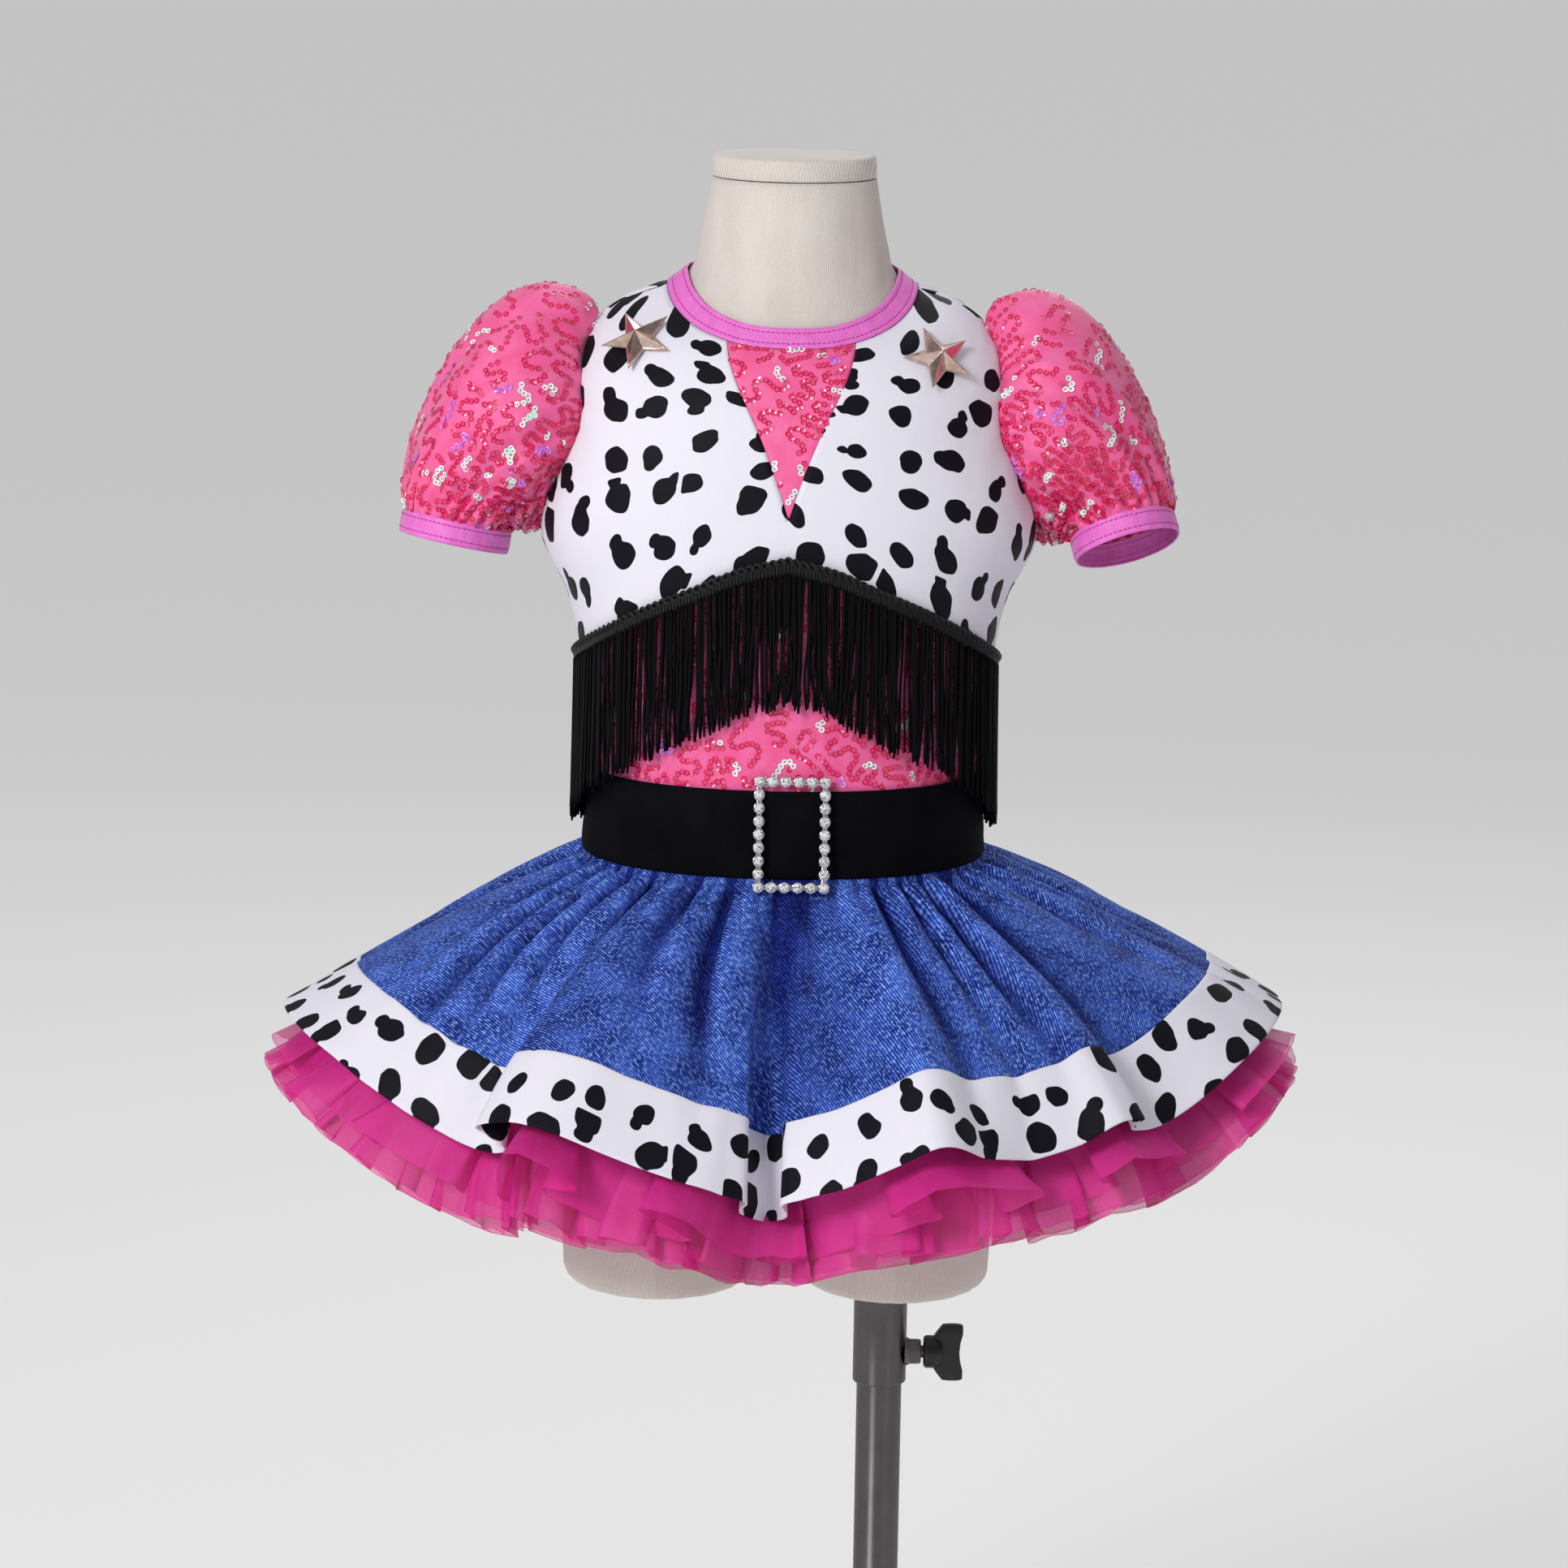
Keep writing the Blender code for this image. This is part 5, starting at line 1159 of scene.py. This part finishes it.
def braid_header(name, middle):
    """The braid that the strands are made on: close ribs side by side, and a two-ply cord along their tops."""
    reach = SIDE - 0.002
    pitch = 0.00172
    dense = np.linspace(middle - reach, middle + reach, 400)
    foot, _ = header_place(dense, 0.0, 0.0009)
    run = run_along(foot[None])[0]
    ribs = np.interp(np.arange(pitch / 2, run[-1], pitch), run, dense)
    rise = np.array([-0.0006, 0.0002, 0.0014, 0.0028, 0.0042, 0.0050, 0.0054])
    lift = np.array([0.0006, 0.0012, 0.0015, 0.0016, 0.0014, 0.0009, 0.0003])
    rib_points, rib_out = header_place(ribs[:, None], rise, lift)
    lean = 0.0005 * (rise / 0.005)[:, None] * unit(np.cross(rib_out, (0, 0, 1)))
    thick = 0.00084 * np.array([0.8, 1, 1, 1, 1, 0.9, 0.6])
    header = lay_cords(f"{name}_ribs", rib_points + lean, thick, rib_out, BRAID, sides=8)
    steps = np.linspace(run[0], run[-1], int(run[-1] / 0.00048))
    angle = steps / 0.0074 * 2 * math.pi + np.array([[0], [math.pi]])
    turns = np.interp(steps, run, dense)
    points, out = header_place(turns, 0.0052 + 0.00105 * np.cos(angle), 0.0015 + 0.00080 * np.sin(angle))
    return header, lay_cords(f"{name}_edge", points, 0.00098, out, BRAID, sides=7)


for fringe_name, fringe_middle, fringe_count, fringe_seed, fringed_cloth, fringed_cut, fringed_area in (
    ("fringe_front", 0.0, 250, 7, bodice_front, (0.320, 0.152), 0.0352),
    ("fringe_back", math.pi, 230, 8, bodice_back, (0.314, 0.205), 0.0522),
):
    strands = hang_strands(f"{fringe_name}_strands", fringe_middle, fringe_count, fringe_seed)
    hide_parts(fringe_name)
    fringe_header, fringe_edge = braid_header(fringe_name, fringe_middle)

# The belt: a straight band of black stretch cloth, 40 mm wide and folded double, sewn round the waist
# over the joins of the midriff and the skirt.
BELT_BOTTOM = 0.6095
BELT_FINISH = start_finish("black_belt_cloth", 0.75, Specular_IOR_Level=0.05)
belt_place = cut_of(BELT_FINISH)
belt_knit = ribs_of(BELT_FINISH, belt_place, 0.00055, "X", 0.8, 900.0)
belt_cloud = cloud_of(BELT_FINISH, belt_place, 45.0, 4.0)
belt_tone = weigh(BELT_FINISH, belt_cloud, 0.7, belt_knit, 0.3)
paint(BELT_FINISH, shade_between(BELT_FINISH, belt_tone, (0.0012, 0.0012, 0.0022), (0.0042, 0.0042, 0.0070), 0.25, 0.8))
raise_relief(BELT_FINISH, reckon(BELT_FINISH, "MULTIPLY_ADD", belt_cloud, 5.0, belt_knit), 0.00004)

belt_turns = ring_of(240, -math.pi)
belt_shares = [0, 0.012, 0.035, 0.08, 0.16, 0.26, 0.38, 0.5, 0.62, 0.74, 0.84, 0.92, 0.965, 0.988, 1.0]
belt_shares = np.array(belt_shares)[:, None]
belt_heights = BELT_BOTTOM + (BELT_TOP - BELT_BOTTOM) * belt_shares
belt_stations = station_at(belt_turns, belt_heights)
belt_across = np.linspace(0, 1, 241) * 0.55
belt_up = belt_heights - BELT_BOTTOM
belt_roll = -0.0006 * np.exp(-belt_shares / 0.02) - 0.0006 * np.exp(-(1 - belt_shares) / 0.02)
belt_crease = 0.00022 * soft_creases(belt_across[:-1] * 0.35, belt_up * 1.2, 91, 0.02)
belt_pull = 0.00045 * hump(abs(belt_turns) - SIDE, 0.5) * np.sin(math.pi * belt_shares)
belt_pull = belt_pull * np.sin(2 * math.pi * (belt_up / 0.019 + belt_across[:-1] / 0.16))
belt_points, _ = skin(belt_turns, belt_stations, OVER_LIFT + 0.0008 + belt_roll + belt_crease + belt_pull)
belt_band = lay_cloth(
    "belt_band", belt_points, belt_across, belt_up, BELT_FINISH, "belt_cloth", ("belt",), closed=True, wall=0.0009
)

# The buckle: an open frame of silvered bar with 26 round glass stones, each in its own cup with four
# claws bent over the stone's edge. It is sewn on the belt and leans out a little at its foot.
STONE_PITCH = 0.0061
SILVER = clouded_finish(
    "silvered_setting", 0.16, (700.0, 4.0), (0.50, 0.49, 0.48), (0.92, 0.91, 0.90), 0.3, 0.65, depth=0.00003,
    Metallic=1.0,
)
STONE_GLASS = start_finish("foiled_glass_stone", 0.05, Metallic=0.25, Coat_Weight=1.0, Coat_Roughness=0.02)
# The stones' colour is painted in small cells from dark grey to white: painted sparkle and dark reflections in their
# facets.
stone_sparkle_cells = work(STONE_GLASS, "ShaderNodeTexVoronoi", Vector=place_in(STONE_GLASS), Scale=1700.0)["Color"]
stone_painted_sparkle = work(STONE_GLASS, "ShaderNodeSeparateColor", Color=stone_sparkle_cells)[0]
paint(STONE_GLASS, shade_between(STONE_GLASS, stone_painted_sparkle, (0.16, 0.16, 0.18), (1.0, 1.0, 1.0), 0.10, 0.44))

buckle_half_width, buckle_half_height = 2.5 * STONE_PITCH, 4 * STONE_PITCH
buckle_belt, _ = skin(0.0, station_at(0.0, 0.6306), OVER_LIFT + BELT_CLOTH)
buckle_place = Matrix.Translation((0.0040, buckle_belt[1] - 0.0024, 0.6306)) @ Matrix.Rotation(math.radians(-9), 4, "X")
stone_seats = [
    (-buckle_half_width + i * STONE_PITCH, -buckle_half_height + k * STONE_PITCH)
    for i in range(6)
    for k in range(9)
    if i in (0, 5) or k in (0, 8)
]
STONE_RINGS = (
    # radius, depth, corners, turn: girdle, two rings of facets behind it, and the edge in front
    (0.00225, -0.0002, 16, 0.0), (0.00190, -0.0009, 8, 0.196), (0.00115, -0.00145, 8, 0.0), (0.00225, 0.0001, 16, 0.0),
)
stones_shape = bmesh.new()
for seat_number, (seat_x, seat_z) in enumerate(stone_seats):
    corners = [stones_shape.verts.new((seat_x, 0.0009 - 0.0012, seat_z))]
    for radius, rise, count, turn in STONE_RINGS:
        for k in range(count):
            angle = 2 * math.pi * k / count + turn + 0.9 * seat_number
            x, z = radius * math.cos(angle) + seat_x, radius * math.sin(angle) + seat_z
            corners.append(stones_shape.verts.new((x, rise - 0.0012, z)))
    bmesh.ops.convex_hull(stones_shape, input=corners)
bmesh.ops.delete(stones_shape, geom=[vertex for vertex in stones_shape.verts if not vertex.link_faces], context="VERTS")
buckle_solid = {"slot": "rhinestones", "nodes": ("buckle",), "sharp": 12, "place": buckle_place}
buckle_stones = add_solid("buckle_stones", stones_shape, STONE_GLASS, **buckle_solid)

bar_shape = bmesh.new()
bar_rings = []
for inset, depth in ((0.0, -0.0006), (0.0, 0.0006), (0.0024, 0.0006), (0.0024, -0.0006)):
    x, z = buckle_half_width + 0.0012 - inset, buckle_half_height + 0.0012 - inset
    bar_rings.append([bar_shape.verts.new((i * x, depth, k * z)) for i, k in ((-1, -1), (1, -1), (1, 1), (-1, 1))])
join_rings(bar_shape, bar_rings + bar_rings[:1])
bmesh.ops.recalc_face_normals(bar_shape, faces=bar_shape.faces)
buckle_bar = add_solid("buckle_bar", bar_shape, SILVER, **buckle_solid)
round_edges(buckle_bar, "Worn edges", 0.00025)

cup_turns = np.linspace(0, 2 * math.pi, 19)
cup = np.stack([0.00232 * np.cos(cup_turns), -0.0007 + 0 * cup_turns, 0.00232 * np.sin(cup_turns)], axis=1)
claw_rise = np.array([0.0008, -0.0002, -0.0011, -0.00165, -0.00195])
claw_reach = np.array([0.0022, 0.00262, 0.00268, 0.00235, 0.00185])
cup_paths, claw_paths, claw_outs = [], [], []
for seat_number, (seat_x, seat_z) in enumerate(stone_seats):
    seat = np.array([seat_x, 0, seat_z])
    cup_paths.append(cup + seat)
    for k in range(4):
        angle = math.pi / 4 + k * math.pi / 2 + 0.06 * math.sin(seat_number * 5.0 + k)
        outward = np.array([math.cos(angle), 0, math.sin(angle)])
        claw_paths.append(seat + claw_reach[:, None] * outward + claw_rise[:, None] * (0, 1, 0))
        claw_outs.append(np.repeat(outward[None], len(claw_rise), axis=0))
claw_radius = np.array([0.0004, 0.00042, 0.00042, 0.00038, 0.00026])
buckle_cups = lay_cords("buckle_cups", np.array(cup_paths), 0.00034, (0.0, 1.0, 0.0), SILVER)
buckle_claws = lay_cords(
    "buckle_claws", np.array(claw_paths), claw_radius, np.array(claw_outs), SILVER
)
for setting in (buckle_cups, buckle_claws):
    setting.data.transform(buckle_place)

# The two star studs: pressed five-pointed stars of pale rose gold metal with sharp ridges and a narrow
# rim, pinned through the bodice below the shoulders.
STAR_METAL = clouded_finish(
    "rose_gold_plate", 0.13, (260.0, 5.0), (0.50, 0.34, 0.28), (0.76, 0.57, 0.50), 0.3, 0.7,
    {"To_Min": 0.10, "To_Max": 0.22}, 0.00004, Metallic=1.0, Coat_Weight=0.3, Coat_Roughness=0.08,
)
STAR_RINGS = (
    # reach of the tips, reach of the notches, height: foot, rim, rim's inner edge, foot of the ridges
    (0.0176, 0.0073, 0.0), (0.0176, 0.0073, 0.0007), (0.0168, 0.00695, 0.0010), (0.0161, 0.00665, 0.00085),
)
for star_name, star_azimuth, star_share, star_turn in (
    ("star_left", -63.0, 0.880, 35.0),
    ("star_right", 58.0, 0.848, 15.0),
):
    star_at = math.radians(star_azimuth)
    star_seat, star_out = skin(star_at, bodice_station(star_at, star_share), 0.0034)
    star_normal = Vector(star_out).lerp(Vector((0, -0.71, 0.71)), 0.35).normalized()
    star_up = (Vector((0, 0, 1)) - star_normal * star_normal.z).normalized()
    star_frame = Matrix((star_up.cross(star_normal), star_up, star_normal)).transposed().to_4x4()
    star_shape = bmesh.new()
    star_rows = []
    for tip, notch, rise in STAR_RINGS:
        corners = [(notch if k % 2 else tip, math.radians(90 + 36 * k + star_turn)) for k in range(10)]
        star_rows.append([star_shape.verts.new((r * math.cos(a), r * math.sin(a), rise)) for r, a in corners])
    star_peak = star_shape.verts.new((0, 0, 0.0072))
    star_shape.faces.new(star_rows[0][::-1])
    join_rings(star_shape, [*star_rows, [star_peak] * 10])
    star_place = Matrix.Translation(Vector(star_seat)) @ star_frame
    star_stud = add_solid(
        f"{star_name}_stud", star_shape, STAR_METAL, "star_metal", (star_name,), sharp=20, place=star_place
    )
    round_edges(star_stud, "Pressed ridges", 0.00022, 2, 20)

# The skirt: denim print on soft polyester, cut as a full circle and eased into the waist seam, so
# that its twill lines turn round the body and small pleats at the belt run out into deep folds at the hem.
DENIM_LENGTH = 0.119
SKIRT_LENGTH = 0.158
SKIRT_HEIGHT = 0.6065
WAIST_CUT = 0.098
SKIRT_FOLDS = (
    # direction of the fold, droop
    (-88, 27.6), (-74, 27.2), (-63, 30.0), (-54, 37.0), (-46, 45.0), (-41, 48.0), (-37, 41.0), (-33, 36.0),
    (-27, 36.8), (-17, 44.5), (-9, 49.5), (-5, 55.0), (-1.5, 68.0), (2, 54.0), (8, 48.5), (14, 42.0),
    (19, 37.5), (26, 42.0), (33, 44.5), (39, 42.0), (45, 36.5), (52, 41.0), (58, 40.0), (68, 30.0),
    (80, 25.0), (92, 25.6), (104, 29.0), (116, 29.5), (128, 35.5), (140, 33.0), (152, 41.0), (165, 36.5),
    (178, 46.0), (191, 37.5), (205, 41.0), (219, 33.0), (232, 36.0), (246, 32.5), (259, 33.5),
)
SKIRT_LAPS = (
    # direction, half width, how far the cloth swings back at the hem
    (-37.5, 5.5, 4.2), (-4.4, 2.8, 2.2), (1.0, 2.6, 1.7), (48.5, 4.0, 2.6), (147.0, 5.5, 3.6), (172.0, 5.0, 3.2),
    (-155.0, 5.0, 3.4),
)
DENIM = start_finish("denim_print", 0.72, Sheen_Weight=0.02, Sheen_Roughness=0.5, Specular_IOR_Level=0.12)
denim_place = cut_of(DENIM)
denim_slant = turned_place(DENIM, denim_place, -33)
denim_twill = ribs_of(DENIM, denim_slant, 0.00122, "X", 0.50, 300.0)
denim_stretched = work(DENIM, "ShaderNodeMapping", Vector=denim_slant, Scale=(1.6, 1.0, 1.0))[0]
denim_fleck = cloud_of(DENIM, denim_stretched, 460.0, 3.0, {"noise_dimensions": "2D"})
denim_cloud = cloud_of(DENIM, denim_place, 62.0, 4.0, {"noise_dimensions": "2D"}, Roughness=0.60)
denim_wash = shade_between(DENIM, denim_cloud, (0.018, 0.070, 0.460), (0.115, 0.260, 0.920), 0.34, 0.66)
denim_line = shade_between(DENIM, denim_fleck, denim_wash, (0.370, 0.550, 1.0), 0.46, 0.76)
denim_gap = shade_between(DENIM, denim_cloud, (0.002, 0.010, 0.140), (0.016, 0.052, 0.360), 0.34, 0.66)
denim_broken = reckon(DENIM, "MULTIPLY_ADD", reckon(DENIM, "SUBTRACT", denim_fleck, 0.5), 1.35, denim_twill)
denim_print = shade_between(DENIM, denim_broken, denim_gap, denim_line, 0.16, 0.96)
# The denim is darkened in the valleys of its folds by how deep each point lies in a crease: painted shade.
denim_painted_shade_depth = work(DENIM, "ShaderNodeAttribute", {"attribute_name": "crease"})[2]
denim_painted_crease_shade = shade_between(DENIM, denim_painted_shade_depth, (0.08, 0.11, 0.30), (1.0, 1.0, 1.0), -0.95, 0.15)
denim_painted_shade_blend = {"data_type": "RGBA", "blend_type": "MULTIPLY"}
paint(DENIM, work(DENIM, "ShaderNodeMix", denim_painted_shade_blend, Factor=1.0, A=denim_print, B=denim_painted_crease_shade)[2])
raise_relief(DENIM, denim_twill, 0.00003)


def waist_place(directions, height, lift):
    """Points of the waist where cloth that hangs out in these directions begins."""
    across, along = np.sin(directions), np.cos(directions)
    turns = np.array([SIDE, 0.0, math.pi])
    half_width, front, back = np.linalg.norm(skin(turns, station_at(turns, height))[0][:, :2], axis=1)
    power = 2 / BODY_RINGS["belt_low"][-1]
    x = (half_width + lift) * np.sign(across) * abs(across) ** power
    y = -(np.where(along > 0, front, back) + lift) * np.sign(along) * abs(along) ** power
    return np.stack([x, y, height + 0 * x], axis=-1)


def skirt_droop(directions):
    return smooth_table(directions, SKIRT_FOLDS, 360)


def hang_cloth(directions, height, lift, length, droop, least, shares):
    """Hanging cloth on arcs that leave the waist flatter than they end. Directions and droop in degrees."""
    turn = (directions + 180) % 360 - 180
    start = np.radians(least + 0.3 * np.maximum(droop - 30, 0) + 22 * hump(turn, 14))
    bend = 2 * np.radians(droop) - 2 * start
    bend = np.where(abs(bend) < 1e-4, 1e-4, bend)
    out = length / bend * (np.sin(start + bend * shares) - np.sin(start))
    down = length / bend * (np.cos(start) - np.cos(start + bend * shares))
    angle = np.radians(directions)
    away = np.stack([np.sin(angle), -np.cos(angle), 0 * angle], axis=-1)
    return waist_place(angle, height, lift) + away * out[..., None] - np.array([0, 0, 1.0]) * down[..., None]


skirt_columns = np.arange(-180, 180, 0.8)
for lap_at, lap_width, _ in SKIRT_LAPS:
    skirt_columns = np.concatenate([skirt_columns, lap_at + np.linspace(-lap_width, lap_width, 15)])
skirt_columns = np.unique(np.round(skirt_columns, 1))


def lapped(columns, shares):
    """Where each column of the cloth points once the deep folds lap over their neighbours."""
    directions = columns + 0 * shares
    for lap_at, lap_width, swing in SKIRT_LAPS:
        x = np.clip((columns - lap_at) / lap_width, -1, 1)
        fade = np.clip((shares - 0.22) / 0.78, 0, 1) ** 1.1
        directions = directions - swing * np.sin(math.pi * x) * (1 + np.cos(math.pi * x)) / 2 * fade
    return directions


def narrow_valleys(wave):
    """Broad soft ridges with narrow valleys between, from an even wave."""
    return 0.25 - 2 * ((1 - wave) / 2) ** 2.4


def skirt_cloth(shares):
    """The skirt's points at these shares of its length, and how deep each lies in a crease, which the denim's colour
    uses for painted shade.
    """
    shares = np.asarray(shares, float)[:, None]
    directions = lapped(skirt_columns, shares)
    droop = skirt_droop(skirt_columns) + 0 * shares
    least = 19.0 + 4.5 * np.clip(-np.sin(np.radians(skirt_columns)), 0, 1) ** 4
    points = hang_cloth(directions, SKIRT_HEIGHT, OVER_LIFT, SKIRT_LENGTH, droop, least, shares)
    places = skirt_columns / 360
    small = narrow_valleys(gather_wave(places + 0.0014 * np.sin(shares * 22), 76, 101, 0.9))
    small = small * np.exp(-((shares / 0.16) ** 1.1))
    middle = narrow_valleys(gather_wave(places + 0.004 * np.sin(shares * 6), 31, 102, 0.9))
    middle = middle * np.exp(-((shares / 0.68) ** 2.2))
    broad = gather_wave(places, 15, 103, 0.8) * np.sin(math.pi * np.clip(shares * 0.9, 0, 1))
    drape = soft_creases(places * 1.3, shares * 0.15, 104, 0.09)
    relief = 0.0026 * small + 0.0056 * middle + 0.0014 * broad + 0.0012 * drape * shares
    relief *= np.minimum(shares / 0.035, 1)
    relief *= 1 - 0.6 * hump(skirt_columns + 1, 11) * np.exp(-shares / 0.4)
    angle = np.radians(directions)
    up_and_out = np.stack([0.55 * np.sin(angle), -0.55 * np.cos(angle), 0.83 + 0 * angle], axis=-1)
    return points + up_and_out * relief[..., None], 0.75 * small + middle + 0.35 * broad


denim_join = DENIM_LENGTH / SKIRT_LENGTH
denim_shares = denim_join * np.linspace(0, 1, 44) ** 1.25
denim_shares[-3:-1] = denim_join - np.array([0.0026, 0.0008]) / SKIRT_LENGTH
denim_points, denim_shade_depths = skirt_cloth(denim_shares)
denim_points[-1] -= (0, 0, 0.0003)
under_belt = [
    waist_place(np.radians(skirt_columns), height, OVER_LIFT + lift)[None]
    for height, lift in ((0.6135, -0.0007), (0.6098, -0.0006))
]
denim_points = np.concatenate([*under_belt, denim_points])[::-1]
denim_shade_depths = np.concatenate([denim_shade_depths[:1], denim_shade_depths[:1], denim_shade_depths])[::-1]
denim_reach = WAIST_CUT + np.concatenate([[-0.007, -0.003], denim_shares * SKIRT_LENGTH])[::-1, None]
denim_turn = np.radians(np.append(skirt_columns, 180.0))
denim_skirt = lay_cloth(
    "denim_skirt", denim_points, denim_reach * np.sin(denim_turn), -denim_reach * np.cos(denim_turn), DENIM,
    "denim_print", ("skirt",), closed=True, wall=0.0006, crease=denim_shade_depths,
)

# The skirt's border: a 39 mm band of the spotted knit, folded double at the hem and sewn to the denim.
# Both of its edges dip a little, where it is sewn on and where it is folded.
border_seam = denim_join + np.array([0.0003, 0.0010, 0.0030]) / SKIRT_LENGTH
border_shares = np.concatenate([border_seam, np.linspace(denim_join + 0.03, 0.985, 12), [0.994, 0.9985, 1.0]])
border_points, _ = skirt_cloth(border_shares)
border_points[0] -= (0, 0, 0.0003)
border_points[-1] -= (0, 0, 0.0005)
border_points = border_points[::-1]
border_cut = run_along(border_points, closed=True)[8] + 1.0
border_up = -(border_shares * SKIRT_LENGTH)[::-1, None]
skirt_border = lay_cloth(
    "spotted_border", border_points, border_cut, border_up, SPOTTED_PRINT, "spotted_print", ("skirt_border",),
    closed=True, wall=0.0009,
)

# The tulle: four ruffles of stiff pink net gathered into the waist under the skirt. The uppermost curls in
# soft loops, and the others lie in wide uneven box folds whose raw edges overlap below the border.
TULLE = start_finish(
    "pink_tulle", 0.50, Specular_IOR_Level=0.30, Sheen_Weight=0.30, Sheen_Roughness=0.25,
    Sheen_Tint=(1.0, 0.45, 0.80, 1.0),
)
tulle_place = cut_of(TULLE)
tulle_lines = ribs_of(TULLE, tulle_place, 0.00086, "Y", 0.4, 300.0)
tulle_mesh = work(TULLE, "ShaderNodeTexVoronoi", {"voronoi_dimensions": "2D"}, Vector=tulle_place, Scale=1500.0)[0]
tulle_tone = weigh(TULLE, cloud_of(TULLE, tulle_place, 40.0, 3.0), 0.8, tulle_lines, 0.2)
tulle_pink = shade_between(TULLE, tulle_tone, (0.66, 0.016, 0.240), (0.92, 0.055, 0.420), 0.2, 0.8)
tulle_above_hem = work(TULLE, "ShaderNodeSeparateXYZ", Vector=tulle_place)[1]
tulle_hem = work(TULLE, "ShaderNodeMapRange", Value=tulle_above_hem, From_Min=0.0007, From_Max=0.0004)[0]
tulle_gather = {"From_Min": 0.010, "From_Max": 0.030, "To_Min": 0.58, "To_Max": 0.80}
tulle_cover = work(TULLE, "ShaderNodeMapRange", Value=tulle_above_hem, **tulle_gather)[0]
for tulle_part, tulle_share in (
    (tulle_lines, 0.04), (reckon(TULLE, "SUBTRACT", 0.5, tulle_mesh), 0.16), (tulle_hem, 0.16),
):
    tulle_cover = reckon(TULLE, "MULTIPLY_ADD", tulle_part, tulle_share, tulle_cover)
paint(TULLE, shade_between(TULLE, tulle_hem, tulle_pink, (0.72, 0.020, 0.270)), Alpha=tulle_cover)
raise_relief(TULLE, tulle_lines, 0.000014)

TULLE_HANG = (
    # turn from the front, droop of the lowest ruffle
    (0, 58.0), (15, 57.0), (27, 53.5), (35, 48.0), (45, 41.5), (55, 35.0), (70, 31.0), (90, 31.0), (110, 31.5),
    (135, 35.0), (160, 41.0), (180, 43.0),
)
BOX_FOLD = (
    # share of the cloth, share of the fold's width, how far it lies out, from 1 to -1
    (0.0, 0.0, 1.0), (0.34, 0.66, 1.0), (0.37, 0.69, 0.6), (0.40, 0.66, 0.0), (0.46, 0.50, -0.8), (0.50, 0.42, -1.0),
    (0.53, 0.40, -1.0), (0.90, 1.12, -1.0), (0.93, 1.15, -0.6), (0.96, 1.12, 0.0), (1.0, 1.0, 1.0),
)


def tulle_ruffle(height, length, change, clear, wave, folds, curls, least, seed):
    """One ruffle in box folds, or in soft curls, of uneven width and depth round the waist."""
    chance = np.random.default_rng(seed)
    widths = chance.uniform(0.5, 1.5, folds)
    widths *= 360 / widths.sum()
    starts = np.concatenate([[0], np.cumsum(widths)[:-1]]) + chance.uniform(0, 360)
    cloth, width, level = np.array(BOX_FOLD).T
    at = np.linspace(0, 1, 33)[:-1]
    if curls:
        swing, out = 0.230 * np.sin(4 * math.pi * at), 0.35 + 0.65 * np.cos(2 * math.pi * at)
    else:
        swing, out = np.interp(at, cloth, width) - at, np.interp(at, cloth, level)
    depths = chance.uniform((0.45, 0.35), (1.0, 0.95), (folds, 2)) + (0, 0.1 * curls)
    flat = (starts[:, None] + widths[:, None] * at).ravel()
    swung = (starts[:, None] + widths[:, None] * (at + depths[:, 1:] * swing)).ravel()
    level_at = (depths[:, :1] * out).ravel()
    for _ in range(2):
        offset, level_at = ((np.roll(a, 1) + 2 * a + np.roll(a, -1)) / 4 for a in (swung - flat, level_at))
        swung = flat + offset
    shares = np.concatenate([np.linspace(0, 0.90, 18), [0.935, 0.97, 1.0]])[:, None]
    slant = 15 * gather_wave(flat / 360, 6, seed + 5) * (1 - shares)
    directions = flat + slant + (swung - flat) * shares**1.6
    over = np.max([skirt_droop(directions[-1] + turn) for turn in (-4, -2, 0, 2, 4)], axis=0)
    turn = abs((directions[-1] + 180) % 360 - 180)
    front = 0.35 + 0.65 * abs(np.cos(np.radians(turn)))
    droop = np.maximum(smooth_table(turn, TULLE_HANG) + change, over + clear * front)
    droop = droop - wave * front * level_at * shares ** (3.0 if curls else 2.0)
    points = hang_cloth(directions, height, OVER_LIFT, length, droop, least, shares)
    flutter = soft_creases(flat / 90, shares * length, seed + 1, 0.045)
    points[..., 2] += 0.0022 * flutter * shares
    return points[::-1], (1 - shares[::-1]) * length


for ruffle_name, ruffle_node, ruffle_under, ruffle in (
    ("tulle_ruffle_1", "tulle_upper", "tulle_ruffle_2", (0.5950, 0.164, -9.0, 5.2, 10.0, 12, True, 28.0, 3572)),
    ("tulle_ruffle_2", "tulle_upper", "tulle_ruffle_3", (0.5940, 0.171, -1.2, 7.2, 4.2, 26, False, 28.5, 202)),
    ("tulle_ruffle_3", "tulle_lower", "tulle_ruffle_4", (0.5930, 0.172, 0.2, 8.0, 3.8, 23, False, 29.0, 203)),
    ("tulle_ruffle_4", "tulle_lower", "midriff_front_cloth", (0.5920, 0.171, 1.2, 8.4, 1.2, 9, False, 29.5, 204)),
):
    ruffle_points, ruffle_up = tulle_ruffle(*ruffle)
    ruffle_cut = run_along(ruffle_points, closed=True)[0]
    ruffle_cloth = lay_cloth(
        ruffle_name, ruffle_points, ruffle_cut, ruffle_up, TULLE, "tulle", (ruffle_node,), closed=True
    )
